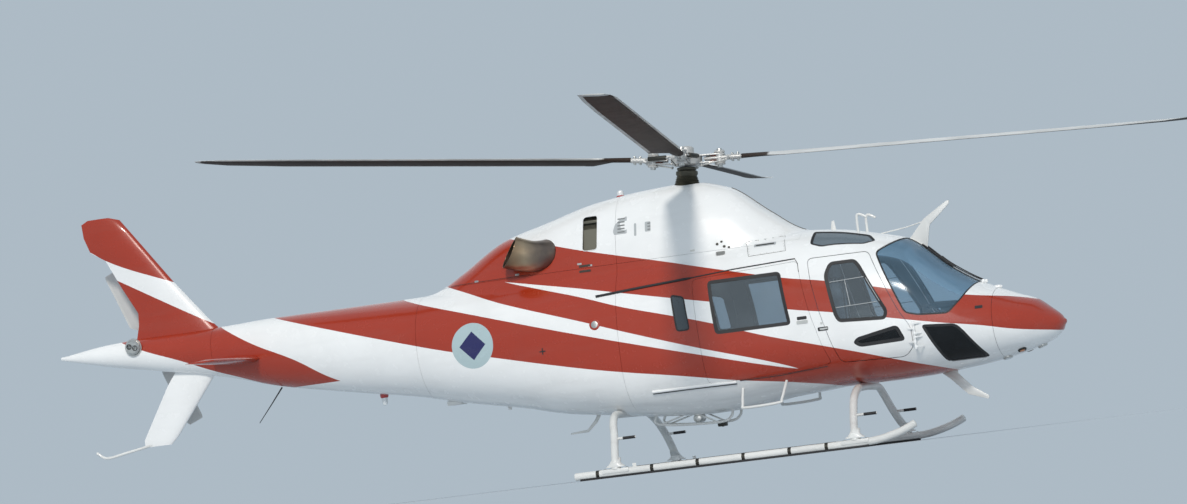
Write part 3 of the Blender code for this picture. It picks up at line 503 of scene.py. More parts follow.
class Livery(Paint):
    """White paint with sweeping brick-red stripes, the same on both sides."""

    RED = (0.36, 0.029, 0.007)
    UPPER_EDGE = (
        (-3.4, 3.05), (-2.01, 2.68), (-1.62, 2.58), (-1.17, 2.45), (-0.75, 2.34), (-0.24, 2.21),
        (0.17, 2.10), (0.55, 2.00), (1.15, 1.85), (1.51, 1.78), (2.09, 1.64), (2.24, 1.60),
        (3.06, 1.43), (3.42, 1.37), (3.62, 1.32),
    )
    WEDGE_TOP = (
        (-2.3, 2.27), (-2.05, 2.22), (-1.62, 2.13), (-1.28, 2.06), (-0.83, 1.96), (-0.43, 1.87),
        (0.25, 1.72), (1.20, 1.51), (1.62, 1.43), (2.25, 1.29), (2.65, 1.20), (3.10, 1.11),
        (3.43, 1.03), (3.80, 0.97), (3.90, 0.955),
    )
    WEDGE_BOTTOM = (
        (-2.3, 2.33), (-2.05, 2.22), (-1.61, 2.08), (-1.18, 1.95), (-0.69, 1.78), (-0.15, 1.62),
        (0.30, 1.48), (0.80, 1.30), (1.46, 1.10), (1.85, 0.98), (2.36, 0.81), (2.60, 0.73),
        (2.90, 0.60),
    )
    BAND_TOP = (
        (-3.32, 2.42), (-2.77, 2.25), (-2.08, 1.99), (-1.18, 1.69), (-0.61, 1.49), (0.10, 1.25),
        (0.97, 0.97), (1.14, 0.90), (1.30, 0.80),
    )
    BAND_BOTTOM = (
        (-3.6, 2.28), (-3.32, 2.18), (-2.38, 1.90), (-1.48, 1.63), (-0.62, 1.38), (0.09, 1.18),
        (0.96, 0.94), (1.14, 0.898), (1.30, 0.86),
    )
    BELLY_EDGE = (
        (-5.2, 2.28), (-4.83, 2.17), (-4.16, 1.97), (-3.35, 1.73), (-2.75, 1.56), (-2.10, 1.40),
        (-1.52, 1.26), (-0.94, 1.13), (-0.09, 0.97), (0.46, 0.86), (1.07, 0.76), (1.48, 0.67),
        (1.90, 0.50),
    )
    TAIL_TOP = (
        (-5.9, 2.36), (-5.51, 2.16), (-5.06, 1.91), (-4.60, 1.69), (-4.23, 1.46), (-3.85, 1.27),
        (-3.60, 1.05),
    )
    TAIL_BOTTOM = (
        (-7.1, 2.30), (-6.75, 2.15), (-6.42, 2.01), (-5.97, 1.84), (-5.62, 1.69), (-5.30, 1.57),
        (-4.90, 1.40),
    )
    DISC = (-2.43, 1.58, 0.245)

    def hue(self, recipe: Recipe) -> Wire:
        """White, the stripes and the plain disc on the flank.

        Args:
            recipe: The material's nodes.

        Returns:
            The colour.
        """
        x, _, z = recipe.place()
        height = {
            name: recipe.edge(x, points)
            for name, points in (
                ("upper", self.UPPER_EDGE), ("wedge_top", self.WEDGE_TOP),
                ("wedge_bottom", self.WEDGE_BOTTOM), ("band_top", self.BAND_TOP),
                ("band_bottom", self.BAND_BOTTOM), ("belly", self.BELLY_EDGE),
                ("tail_top", self.TAIL_TOP), ("tail_bottom", self.TAIL_BOTTOM),
            )
        }
        wedge = z.over(height["wedge_bottom"]) * (1 - z.over(height["wedge_top"]))
        band = z.over(height["band_bottom"]) * (1 - z.over(height["band_top"]))
        flank = z.over(height["belly"]) * (1 - z.over(height["upper"]))
        tail = z.over(height["tail_bottom"]) * (1 - z.over(height["tail_top"]))
        red = (flank * (1 - wedge) * (1 - band)).math("MAXIMUM", tail)
        painted = recipe.mix(red, self.colour, self.RED)
        return self.disc(recipe, painted, x, z)

    def height(self, recipe: Recipe) -> Wire:
        """Orange peel, with rows of rivets along the frames behind the cabin.

        Args:
            recipe: The material's nodes.

        Returns:
            The height of the surface.
        """
        x, _, z = recipe.place()
        row = ((x + 0.31).math("PINGPONG", 0.31) - 0.31).math("ABSOLUTE")
        head = (1 - row.over(0.0045, 0.002)) * (z * 190).math("SINE").over(0.55, 0.2)
        return recipe.noise(self.grain, 3) + head * (1 - x.over(-0.80)) * 30

    def disc(self, recipe: Recipe, painted: Wire, x: Wire, z: Wire) -> Wire:
        """A pale blue disc with a plain dark diamond.

        Args:
            recipe: The material's nodes.
            painted: The colour so far.
            x: The station.
            z: The height.

        Returns:
            The colour.
        """
        middle_x, middle_z, radius = self.DISC
        across = x - middle_x
        up = z - middle_z
        away = (across * across + up * up).math("SQRT")
        inside = 1 - away.over(radius)
        corner = across.math("ABSOLUTE") + up.math("ABSOLUTE")
        pale = recipe.mix(inside, painted, (0.42, 0.53, 0.55))
        return recipe.mix(1 - corner.over(0.155), pale, (0.014, 0.014, 0.10))


class FinPaint(Paint):
    """The fin's paint: red with one white band that runs down and forward."""

    BAND_TOP = ((-7.10, 3.24), (-6.985, 3.181), (-6.819, 3.07), (-6.038, 2.734), (-5.4, 2.46))
    BAND_BOTTOM = ((-7.10, 3.05), (-6.723, 2.844), (-5.655, 2.24), (-5.3, 2.04))

    def hue(self, recipe: Recipe) -> Wire:
        """Red and white.

        Args:
            recipe: The material's nodes.

        Returns:
            The colour.
        """
        x, _, z = recipe.place()
        top = recipe.edge(x, self.BAND_TOP)
        bottom = recipe.edge(x, self.BAND_BOTTOM)
        white = z.over(bottom) * (1 - z.over(top))
        return recipe.mix(white, Livery.RED, self.colour)


class Metal(Finish):
    """Bare or treated metal with fine scratches."""

    def gloss(self, recipe: Recipe) -> Wire:
        """The roughness with scratches."""
        return self.roughness + 0.25 * (recipe.noise(55, 6, (0.3, 3, 1)) - 0.5)


class HotMetal(Metal):
    """Metal that heat has tinted, straw near the cowling and brown at the lip."""

    def hue(self, recipe: Recipe) -> Wire:
        """The tints of heat along the pipe.

        Args:
            recipe: The material's nodes.

        Returns:
            The colour.
        """
        x, _, _ = recipe.place()
        place = x.rising(-1.97, -1.55) + 0.3 * (recipe.noise(7, 5) - 0.5)
        return recipe.node(
            "ShaderNodeValToRGB",
            {"stops": ((0.0, (0.16, 0.11, 0.075)), (0.25, (0.42, 0.28, 0.17)),
                       (0.65, (0.55, 0.42, 0.28)), (1.0, (0.24, 0.19, 0.16)))},
            {"Fac": place},
        )


@dataclass(frozen=True)
class BladeSkin(Finish):
    """A rotor blade's skin with a bright leading edge, a pale trailing edge, a pale tip and painted
    sunlight on its top.

    Attributes:
        top: The pale colour of the upper face outside the root, painted sunlight on the blade's top.
    """

    top: Colour = (0.72, 0.72, 0.71)

    def hue(self, recipe: Recipe) -> Wire:
        """Skin, edges, tip and the painted sunlight on the upper face.

        Args:
            recipe: The material's nodes.

        Returns:
            The colour.
        """
        # Painted sunlight: the upper face outside the root is painted pale, as if lit from above.
        above = recipe.mark("upper").rising(0.4, 0.6) * recipe.mark("span").over(0.165, 0.004)
        faces = recipe.mix(above, self.colour, self.top)
        worn = self.edges(recipe) * (0.85 + 0.4 * (recipe.noise(12, 5) - 0.5))
        return recipe.mix(worn, faces, (0.62, 0.62, 0.60))

    @staticmethod
    def edges(recipe: Recipe) -> Wire:
        """1 on the two edges and on the tip.

        Args:
            recipe: The material's nodes.

        Returns:
            The mask.
        """
        chord = recipe.mark("chord")
        span = recipe.mark("span")
        lead = 1 - chord.over(0.045, 0.01)
        trail = chord.over(0.88, 0.01) * span.over(0.21, 0.004)
        return lead.math("MAXIMUM", trail).math("MAXIMUM", span.over(0.988, 0.001))

    def finish_off(self, recipe: Recipe) -> None:
        """The leading edge is a metal strip."""
        strip = 1 - recipe.mark("chord").over(0.045, 0.01)
        recipe.set(Metallic=strip * 0.6, Specular_IOR_Level=0.12)


class Cloth(Finish):
    """Seat cloth with a twill weave."""

    def height(self, recipe: Recipe) -> Wire:
        """The weave: two crossing waves.

        Args:
            recipe: The material's nodes.

        Returns:
            The height of the surface.
        """
        x, y, z = recipe.place()
        warp = ((x + z) * 900).math("SINE")
        weft = ((y + z * 0.3) * 900).math("SINE")
        return warp * weft * 0.5 + 0.3 * recipe.noise(250, 2)

    def finish_off(self, recipe: Recipe) -> None:
        """The soft sheen of cloth."""
        recipe.set(Sheen_Weight=0.25, Sheen_Roughness=0.5)


@dataclass(frozen=True)
class Glass(Finish):
    """Tinted window glass that shows the cabin behind it.

    Attributes:
        tint: How much of each colour comes through.
        film: How much the tint's own surface covers what is behind.
    """

    tint: Colour = (0.82, 0.88, 0.92)
    film: float = 0.25

    def material(self) -> bpy.types.Material:
        """Clear and tinted parts, mixed by the angle of view and by faint smears.

        Returns:
            The material.
        """
        known = bpy.data.materials.get(self.title)
        if known:
            return known
        recipe = Recipe(self.title)
        recipe.set(Base_Color=self.colour, Roughness=self.roughness, Specular_IOR_Level=0.6)
        clear = recipe.node("ShaderNodeBsdfTransparent", sockets={0: self.tint})
        smear = self.mottle * recipe.noise(3, 6).rising(0.35, 0.8)
        film = recipe.node("ShaderNodeFresnel", sockets={"IOR": 1.45}) * 0.6 + self.film + smear
        solid = Wire(recipe, recipe.shader.outputs[0])
        mixed = recipe.node("ShaderNodeMixShader", sockets={0: film, 1: clear, 2: solid})
        recipe.feed(recipe.tree.nodes["Material Output"].inputs["Surface"], mixed)
        return recipe.material


BRIGHT_WHITE = (0.86, 0.86, 0.852)
LACQUER = {"coat": 0.5, "grain": 420, "relief": 0.00002}
WHITE = Paint("white_paint_plain", BRIGHT_WHITE, 0.26, mottle=0.05, **LACQUER)
HULL_PAINT = Livery("hull_paint", BRIGHT_WHITE, 0.26, mottle=0.05, **LACQUER)
FIN_PAINT = FinPaint("fin_paint", BRIGHT_WHITE, 0.26, mottle=0.05, **LACQUER)
RED = Paint("red_paint_plain", Livery.RED, 0.28, mottle=0.06, **LACQUER)
GEAR_PAINT = Paint(
    "gear_paint", (0.74, 0.74, 0.72), 0.34, coat=0.3, mottle=0.10, grain=260, relief=0.00008
)

GLASS = Glass("window_glass", (0.30, 0.34, 0.37), 0.12, mottle=0.05, film=0.17)
SCREEN_GLASS = Glass("windscreen_glass", (0.28, 0.43, 0.56), 0.12, mottle=0.04, film=0.10)
DARK_GLASS = Glass(
    "chin_glass", (0.012, 0.014, 0.016), 0.10, mottle=0.05, tint=(0.35, 0.37, 0.40), film=0.45
)


def bare(name: str, colour: Colour, roughness: float, metallic: float, mottle: float,
         grain: float = 140, relief: float = 0.0003) -> Metal:
    """A metal finish by its numbers in order."""
    return Metal(name, colour, roughness, metallic, 0.0, mottle, grain, relief)


STEEL = bare("bare_steel", (0.62, 0.61, 0.58), 0.32, 1.0, 0.15, 120, 0.0002)
DARK_METAL = bare("dark_metal", (0.060, 0.058, 0.050), 0.48, 0.8, 0.3)
MAST_METAL = bare("mast_metal", (0.085, 0.078, 0.055), 0.45, 0.4, 0.3)
GRIP_METAL = bare("grip_metal", (0.58, 0.57, 0.55), 0.40, 0.45, 0.15, relief=0.0002)
# The intake plate's grey-beige, darkened as painted shade of the slot that it sits in.
SHADED_BEIGE = bare("intake_plate", (0.135, 0.13, 0.10), 0.5, 0.3, 0.2, 120)
EXHAUST_METAL = HotMetal(
    "exhaust_metal", (0.3, 0.2, 0.12), 0.38, metallic=0.95, mottle=0.25, relief=0.0006
)


def dull(name: str, colour: Colour, roughness: float, mottle: float,
         grain: float = 300, relief: float = 0.0003) -> Finish:
    """A plain finish by its numbers in order."""
    return Finish(name, colour, roughness, 0.0, 0.0, mottle, grain, relief)


RUBBER = dull("black_rubber", (0.018, 0.018, 0.02), 0.62, 0.3)
# Soot in the exhaust pipes' bores; on the tail gearbox case it is painted shade in two openings.
SOOT_AND_SHADE = dull("exhaust_soot", (0.012, 0.011, 0.010), 0.85, 0.5, 60, 0.001)
TRIM = dull("cabin_trim", (0.19, 0.195, 0.20), 0.72, 0.12, 700, 0.0004)
DARK_TRIM = dull("dark_trim", (0.030, 0.031, 0.034), 0.65, 0.2, 800)
CARPET = dull("cabin_carpet", (0.055, 0.058, 0.065), 0.95, 0.35, 1400, 0.002)
SEAT_SHELL = dull("seat_shell", (0.20, 0.21, 0.22), 0.5, 0.15, relief=0.0002)
OLIVE = dull("intake_screen", (0.085, 0.082, 0.055), 0.6, 0.3, relief=0.0006)
GREY = dull("grey_paint", (0.42, 0.44, 0.45), 0.45, 0.12, 260, 0.0001)
SLAT_GREY = dull("slat_grey", (0.20, 0.21, 0.21), 0.5, 0.15, 260, 0.0001)
BROWN = dull("brown_bearing", (0.16, 0.045, 0.025), 0.55, 0.25, 200)
BLADE_SKIN = BladeSkin(
    "blade_skin", (0.040, 0.027, 0.021), 0.60, mottle=0.25, grain=90, relief=0.0003
)
TAIL_BLADE_SKIN = BladeSkin(
    "tail_blade_skin", (0.55, 0.55, 0.54), 0.36, coat=0.2, mottle=0.15, grain=90, relief=0.0003
)
WEBBING = Cloth("belt_webbing", (0.060, 0.062, 0.068), 0.75, mottle=0.15, relief=0.0004)
SEAT_CLOTH = Cloth("seat_cloth", (0.42, 0.46, 0.51), 0.85, mottle=0.2, relief=0.0008)


def clear(name: str, colour: Colour, roughness: float, mottle: float, grain: float = 500,
          relief: float = 0.0002) -> Finish:
    """The finish of a lens or a screen, under clear lacquer."""
    return Finish(name, colour, roughness, 0.0, 1.0, mottle, grain, relief)


SCREEN = clear("panel_screen", (0.012, 0.020, 0.035), 0.08, 0.2, 900, 0.00002)
LAMP = clear("lamp_lens", (0.75, 0.77, 0.78), 0.08, 0.05)
AMBER = clear("amber_lens", (0.55, 0.16, 0.02), 0.12, 0.1)
RED_LAMP = clear("red_lens", (0.42, 0.02, 0.015), 0.12, 0.1)


@dataclass(frozen=True)
class HullForm:
    """The smooth outer surface of the fuselage and cowlings.

    Attributes:
        sections: The rows of the section table.
        blend: How wide the soft valley between cabin and cowling is.
        cowl_power: How square the cowling's section is.
    """

    sections: tuple[tuple[float, ...], ...] = SECTIONS
    blend: float = 0.03
    cowl_power: float = 2.5

    def columns(self, stations: np.ndarray) -> np.ndarray:
        """The table's columns at any stations, along cubics that never overshoot.

        Args:
            stations: Places along the hull.

        Returns:
            One row of seven values for each station.
        """
        table = np.array(self.sections)
        x, y = table[:, 0], table[:, 1:]
        rise = np.diff(y, axis=0) / np.diff(x)[:, None]
        product = rise[:-1] * rise[1:]
        total = np.where(product > 0, rise[:-1] + rise[1:], 1.0)
        inner = np.where(product > 0, 2 * product / total, 0.0)
        slope = np.vstack((rise[:1], inner, np.zeros((1, y.shape[1]))))
        i = np.clip(np.searchsorted(x, stations, side="right") - 1, 0, len(x) - 2)
        span = (x[i + 1] - x[i])[:, None]
        t = np.clip((stations - x[i])[:, None] / span, 0, 1)
        near = y[i] * (1 + 2 * t) * (1 - t) ** 2 + y[i + 1] * t * t * (3 - 2 * t)
        return near + span * (slope[i] * t * (1 - t) ** 2 - slope[i + 1] * t * t * (1 - t))

    def reach(self, columns: np.ndarray, angles: np.ndarray) -> np.ndarray:
        """How far the surface lies from the section's centre.

        Args:
            columns: The table's values, one row for each angle.
            angles: Directions round the section, 0 at the left side.

        Returns:
            The distances.
        """
        keel, waist, roof, top, half, cowl, power = columns.T
        across, up = np.abs(np.cos(angles)), np.abs(np.sin(angles))

        def lobe(wide: np.ndarray, tall: np.ndarray, bend: np.ndarray | float) -> np.ndarray:
            """The distance to a superellipse."""
            return ((across / wide) ** bend + (up / tall) ** bend) ** (-1 / bend)

        cabin = lobe(half, roof - waist, power)
        cowling = lobe(cowl, np.maximum(top - waist, 0.005), self.cowl_power)
        valley = np.maximum(self.blend - np.abs(cabin - cowling), 0) ** 2 / (4 * self.blend)
        upper = np.maximum(cabin, cowling) + valley
        return np.where(np.sin(angles) < 0, lobe(half, waist - keel, power), upper)

    def points(self, stations: np.ndarray, turns: np.ndarray, out: float = 0.0) -> np.ndarray:
        """Points of the surface.

        Args:
            stations: Places along the hull.
            turns: Places round it, from the keel at -pi/2 by the left side.
            out: How far outside the surface.

        Returns:
            The points, one row each.
        """
        columns = self.columns(stations)
        keel, waist, roof, top, half = columns.T[:5]
        tall = np.where(np.sin(turns) < 0, waist - keel, np.maximum(roof, top) - waist)
        angles = np.arctan2(tall * np.sin(turns), half * np.cos(turns))
        reach = self.reach(columns, angles) + out
        return np.stack((stations, reach * np.cos(angles), waist + reach * np.sin(angles)), 1)

    def gap(self, points: np.ndarray) -> np.ndarray:
        """How far points lie outside the surface, along the section's rays.

        Args:
            points: The points.

        Returns:
            The distances, negative inside.
        """
        columns = self.columns(points[:, 0])
        up = points[:, 2] - columns[:, 1]
        angles = np.arctan2(up, points[:, 1])
        return np.hypot(points[:, 1], up) - self.reach(columns, angles)

    def normals(self, points: np.ndarray) -> np.ndarray:
        """The surface's outward directions near points.

        Args:
            points: The points.

        Returns:
            One direction for each point.
        """
        reach = 0.003
        slopes = [
            self.gap(points + np.eye(3)[axis] * reach) - self.gap(points - np.eye(3)[axis] * reach)
            for axis in range(3)
        ]
        gradient = np.stack(slopes, 1)
        return gradient / np.maximum(np.linalg.norm(gradient, axis=1, keepdims=True), 1e-9)

    def at_side(self, x: float, z: float, side: Side, out: float = 0.0) -> Vector:
        """The point of one flank at a station and height, moved out along the normal.

        Args:
            x: The station.
            z: The height.
            side: Which side.
            out: How far out along the normal.

        Returns:
            The point.
        """
        depths = np.linspace(0.005, 1.0, 400)
        tries = np.stack((np.full(400, x), depths * side.value, np.full(400, z)), 1)
        gaps = self.gap(tries)
        index = int(np.argmax(gaps > 0))
        share = gaps[index - 1] / (gaps[index - 1] - gaps[index]) if index else 0.0
        spot = tries[index - 1] * (1 - share) + tries[index] * share if index else tries[0]
        return Vector(spot + self.normals(spot[None])[0] * out)

    def at_top(self, x: float, y: float, out: float = 0.0, under: bool = False) -> Vector:
        """The highest or lowest point of the hull at a station and distance from the middle.

        Args:
            x: The station.
            y: The distance from the middle.
            out: How far out along the normal.
            under: Whether the lowest is meant.

        Returns:
            The point.
        """
        waist = float(self.columns(np.array([x]))[0, 1])
        heights = np.linspace(waist, 0.4 if under else 3.2, 500)
        tries = np.stack((np.full(500, x), np.full(500, y), heights), 1)
        gaps = self.gap(tries)
        index = max(int(np.argmax(gaps > 0)), 1)
        share = gaps[index - 1] / (gaps[index - 1] - gaps[index])
        spot = tries[index - 1] * (1 - share) + tries[index] * share
        return Vector(spot + self.normals(spot[None])[0] * out)

    def line(self, corners: Outline, side: Side, out: float, steps: int = 0) -> list[Vector]:
        """Points of one flank along a broken line of stations and heights.

        Args:
            corners: The line's corners.
            side: Which side.
            out: How far outside the surface.
            steps: How many pieces each stretch has, or 0 for pieces of about 5 cm.

        Returns:
            The points, without the line's last corner.
        """
        chain = []
        for (x0, z0), (x1, z1) in zip(corners, corners[1:]):
            count = steps or max(2, round(math.hypot(x1 - x0, z1 - z0) / 0.05))
            for i in range(count):
                x = x0 + (x1 - x0) * i / count
                z = z0 + (z1 - z0) * i / count
                chain.append(self.at_side(x, z, side, out))
        return chain

    def direction(self, point: Vector) -> Vector:
        """The outward direction near one point."""
        return Vector(self.normals(np.array([point]))[0])

    def sheet(
        self, low: float, high: float, side: Side | None = None, out: float = 0.0,
        step: float = 0.03, faces: int = 112,
    ) -> bmesh.types.BMesh:
        """An open sheet of the surface between two stations.

        Args:
            low: The rear station.
            high: The front station.
            side: One half only, or both where it is None.
            out: How far outside the surface.
            step: The length of a face.
            faces: How many faces go round.

        Returns:
            The sheet, its faces outwards.
        """
        shape = bmesh.new()
        rows = max(2, round((high - low) / step))
        columns = faces if side is None else faces // 2
        bmesh.ops.create_grid(shape, x_segments=rows, y_segments=columns, size=1)
        start = 0.5 * math.pi if side is Side.RIGHT else -0.5 * math.pi
        sweep = math.tau if side is None else math.pi
        flat = np.array([vert.co for vert in shape.verts])
        stations = low + (flat[:, 0] + 1) / 2 * (high - low)
        turns = start + (flat[:, 1] + 1) / 2 * sweep
        for vert, place in zip(shape.verts, self.points(stations, turns, out)):
            vert.co = place
        bmesh.ops.remove_doubles(shape, verts=shape.verts, dist=MERGE)
        shape.normal_update()
        tested = list(shape.faces)[::97]
        facing = sum(face.normal.dot(self.direction(face.calc_center_median())) for face in tested)
        if facing < 0:
            bmesh.ops.reverse_faces(shape, faces=shape.faces)
        return shape


HULL = HullForm()


def around(count: int) -> np.ndarray:
    """Angles evenly round a circle."""
    return np.linspace(0, math.tau, count, endpoint=False)


def rectangle(x0: float, z0: float, x1: float, z1: float) -> list[tuple[float, float]]:
    """The corners of a rectangle."""
    return [(x0, z0), (x1, z0), (x1, z1), (x0, z1)]


def smoothed(points: Iterable[Point], steps: int = 6) -> list[Vector]:
    """Points along a smooth curve through the given ones.

    Args:
        points: The points to pass through.
        steps: How many pieces lie between two of them.

    Returns:
        The finer chain.
    """
    knots = [Vector(point) for point in points]
    padded = [2 * knots[0] - knots[1], *knots, 2 * knots[-1] - knots[-2]]
    chain = []
    for a, b, c, d in zip(padded, padded[1:], padded[2:], padded[3:]):
        for step in range(steps):
            t = step / steps
            bend = (2 * a - 5 * b + 4 * c - d) * t * t / 2 + (3 * b - a - 3 * c + d) * t**3 / 2
            chain.append(b + (c - a) * t / 2 + bend)
    return [*chain, knots[-1]]


def moved_in(outline: Outline, distance: float) -> list[Vector]:
    """An outline with every edge moved inwards, or outwards where the distance is negative.

    Args:
        outline: Its corners in order.
        distance: How far.

    Returns:
        The new corners.
    """
    points = [Vector(point) for point in outline]
    area = sum(a.cross(b) for a, b in zip(points, points[1:] + points[:1]))
    inwards = distance if area > 0 else -distance
    result = []
    for before, here, after in zip(points[-1:] + points[:-1], points, points[1:] + points[:1]):
        first, second = (here - before).normalized(), (after - here).normalized()
        normal = Vector((-first.y, first.x))
        middle = (normal + Vector((-second.y, second.x))).normalized()
        result.append(here + middle * inwards / max(middle.dot(normal), 0.3))
    return result


def rounded(outline: Outline, radius: float, steps: int = 6) -> list[Vector]:
    """An outline with its corners rounded, less where an edge is short.

    Args:
        outline: Its corners in order.
        radius: The corners' radius.
        steps: The points along each corner's arc.

    Returns:
        The new outline.
    """
    points = [Vector(point) for point in outline]
    result = []
    for before, here, after in zip(points[-1:] + points[:-1], points, points[1:] + points[:1]):
        room = min(radius, (before - here).length * 0.45, (after - here).length * 0.45)
        start = here + (before - here).normalized() * room
        end = here + (after - here).normalized() * room
        for step in range(steps + 1):
            t = step / steps
            result.append(start * (1 - t) ** 2 + here * 2 * t * (1 - t) + end * t * t)
    return result


class Form:
    """A shape in the making, in the mast's frame. Each method adds to it and returns it."""

    def __init__(self, mesh: bmesh.types.BMesh | None = None) -> None:
        """Starts empty, or from a mesh.

        Args:
            mesh: A mesh to take over.
        """
        self.mesh = mesh or bmesh.new()

    def join(self, part: bmesh.types.BMesh, tint: int = 0, place: Matrix | None = None) -> Form:
        """Adds a closed mesh.

        Args:
            part: The mesh, which is used up.
            tint: The number of its finish.
            place: Where it goes.

        Returns:
            The form.
        """
        bmesh.ops.remove_doubles(part, verts=part.verts, dist=MERGE)
        bmesh.ops.recalc_face_normals(part, faces=part.faces)
        for face in part.faces:
            face.material_index = tint
        if place is not None:
            bmesh.ops.transform(part, matrix=place, verts=part.verts)
        shelf = bpy.data.meshes.new("shelf")
        part.to_mesh(shelf)
        part.free()
        self.mesh.from_mesh(shelf)
        bpy.data.meshes.remove(shelf)
        return self

    def add(self, other: Form, place: Matrix | None = None) -> Form:
        """Adds a copy of another form.

        Args:
            other: The form to copy.
            place: Where it goes.

        Returns:
            This form.
        """
        shelf = bpy.data.meshes.new("shelf")
        other.mesh.to_mesh(shelf)
        if place is not None:
            shelf.transform(place)
        self.mesh.from_mesh(shelf)
        bpy.data.meshes.remove(shelf)
        return self

    def box(
        self, low: Point, high: Point, bevel: float = 0.004, tint: int = 0,
        place: Matrix | None = None,
    ) -> Form:
        """Adds a block with rounded edges.

        Args:
            low: One corner.
            high: The opposite corner.
            bevel: How far the edges are rounded.
            tint: The number of its finish.
            place: Where it goes.

        Returns:
            The form.
        """
        part = bmesh.new()
        bmesh.ops.create_cube(part, size=1)
        size = [abs(b - a) for a, b in zip(low, high)]
        bmesh.ops.scale(part, vec=size, verts=part.verts)
        bmesh.ops.translate(part, vec=[(a + b) / 2 for a, b in zip(low, high)], verts=part.verts)
        self._round(part, part.edges[:], min(bevel, min(size) * 0.45))
        return self.join(part, tint, place)

    @staticmethod
    def _round(part: bmesh.types.BMesh, edges: list[bmesh.types.BMEdge], bevel: float) -> None:
        """Rounds edges of a mesh.

        Args:
            part: The mesh.
            edges: Its edges to round.
            bevel: The radius.
        """
        if bevel > 0:
            bmesh.ops.bevel(
                part, geom=edges, offset=bevel, segments=2, profile=0.5, affect="EDGES", material=-1
            )

    def rod(
        self, start: Point, end: Point, radius: float, top: float | None = None, sides: int = 20,
        bevel: float = 0.0, tint: int = 0,
    ) -> Form:
        """Adds a round bar or a cone.

        Args:
            start: The middle of its foot.
            end: The middle of its top.
            radius: The foot's radius.
            top: The top's radius, if it differs.
            sides: How many faces go round.
            bevel: How far the rims are rounded.
            tint: The number of its finish.

        Returns:
            The form.
        """
        part = bmesh.new()
        way = Vector(end) - Vector(start)
        turn = Vector((0, 0, 1)).rotation_difference(way).to_matrix().to_4x4()
        bmesh.ops.create_cone(
            part, cap_ends=True, segments=sides, radius1=radius,
            radius2=radius if top is None else top, depth=way.length,
            matrix=Matrix.Translation((Vector(start) + Vector(end)) / 2) @ turn,
        )
        rims = [edge for edge in part.edges if any(len(face.verts) > 4 for face in edge.link_faces)]
        self._round(part, rims, bevel)
        return self.join(part, tint)

    def ball(self, middle: Point, radii: Point, tint: int = 0, place: Matrix | None = None) -> Form:
        """Adds an ellipsoid.

        Args:
            middle: Its middle.
            radii: Half its size in x, y and z.
            tint: The index of its finish.
            place: How it is turned and placed.

        Returns:
            This form.
        """
        part = bmesh.new()
        bmesh.ops.create_uvsphere(part, u_segments=24, v_segments=14, radius=1)
        bmesh.ops.scale(part, vec=radii, verts=part.verts)
        bmesh.ops.translate(part, vec=middle, verts=part.verts)
        return self.join(part, tint, place)

    def lathe(
        self, profile: Outline, foot: Point, way: Point = (0, 0, 1), sides: int = 32, tint: int = 0
    ) -> Form:
        """Adds a turned shape.

        Args:
            profile: Radius and height of each knot, from axis to axis.
            foot: Where height 0 lies.
            way: The direction of the axis.
            sides: How many faces go round.
            tint: The number of its finish.

        Returns:
            The form.
        """
        part = bmesh.new()
        knots = [part.verts.new((radius, 0, height)) for radius, height in profile]
        edges = [part.edges.new(pair) for pair in zip(knots, knots[1:])]
        bmesh.ops.spin(
            part, geom=knots + edges, cent=(0, 0, 0), axis=(0, 0, 1), angle=math.tau, steps=sides,
            use_merge=True,
        )
        turn = Vector((0, 0, 1)).rotation_difference(Vector(way)).to_matrix().to_4x4()
        return self.join(part, tint, Matrix.Translation(foot) @ turn)

    def prism(
        self, outline: Outline, low: float, high: float, axis: str = "Y", bevel: float = 0.0,
        tint: int = 0, place: Matrix | None = None,
    ) -> Form:
        """Adds a straight prism of a flat outline.

        Args:
            outline: Its corners, x and z along Y, or x and y along Z.
            low: Where it starts along the axis.
            high: Where it ends.
            axis: Y or Z.
            bevel: How far its edges are rounded.
            tint: The number of its finish.
            place: Where it goes.

        Returns:
            The form.
        """
        part = bmesh.new()
        corners = [(a, low, b) if axis == "Y" else (a, b, low) for a, b in outline]
        face = part.faces.new([part.verts.new(corner) for corner in corners])
        grown = bmesh.ops.extrude_face_region(part, geom=[face])
        moved = [item for item in grown["geom"] if isinstance(item, bmesh.types.BMVert)]
        lift = (0, high - low, 0) if axis == "Y" else (0, 0, high - low)
        bmesh.ops.translate(part, vec=lift, verts=moved)
        self._round(part, part.edges[:], bevel)
        return self.join(part, tint, place)

    def loft(self, rings: Sequence[Sequence[Point]], capped: bool = True, tint: int = 0) -> Form:
        """Adds a skin over rings that have as many points each.

        Args:
            rings: The rings in order.
            capped: Whether the two ends are closed.
            tint: The number of its finish.

        Returns:
            The form.
        """
        part = bmesh.new()
        loops = []
        for ring in rings:
            verts = bmesh.ops.create_circle(part, segments=len(ring), radius=1)["verts"]
            loops.append(list({edge for vert in verts for edge in vert.link_edges}))
            for vert, place in zip(verts, ring):
                vert.co = place
        for low, high in zip(loops, loops[1:]):
            bmesh.ops.bridge_loops(part, edges=low + high)
        if capped:
            bmesh.ops.holes_fill(part, edges=loops[0] + loops[-1], sides=0)
        return self.join(part, tint)

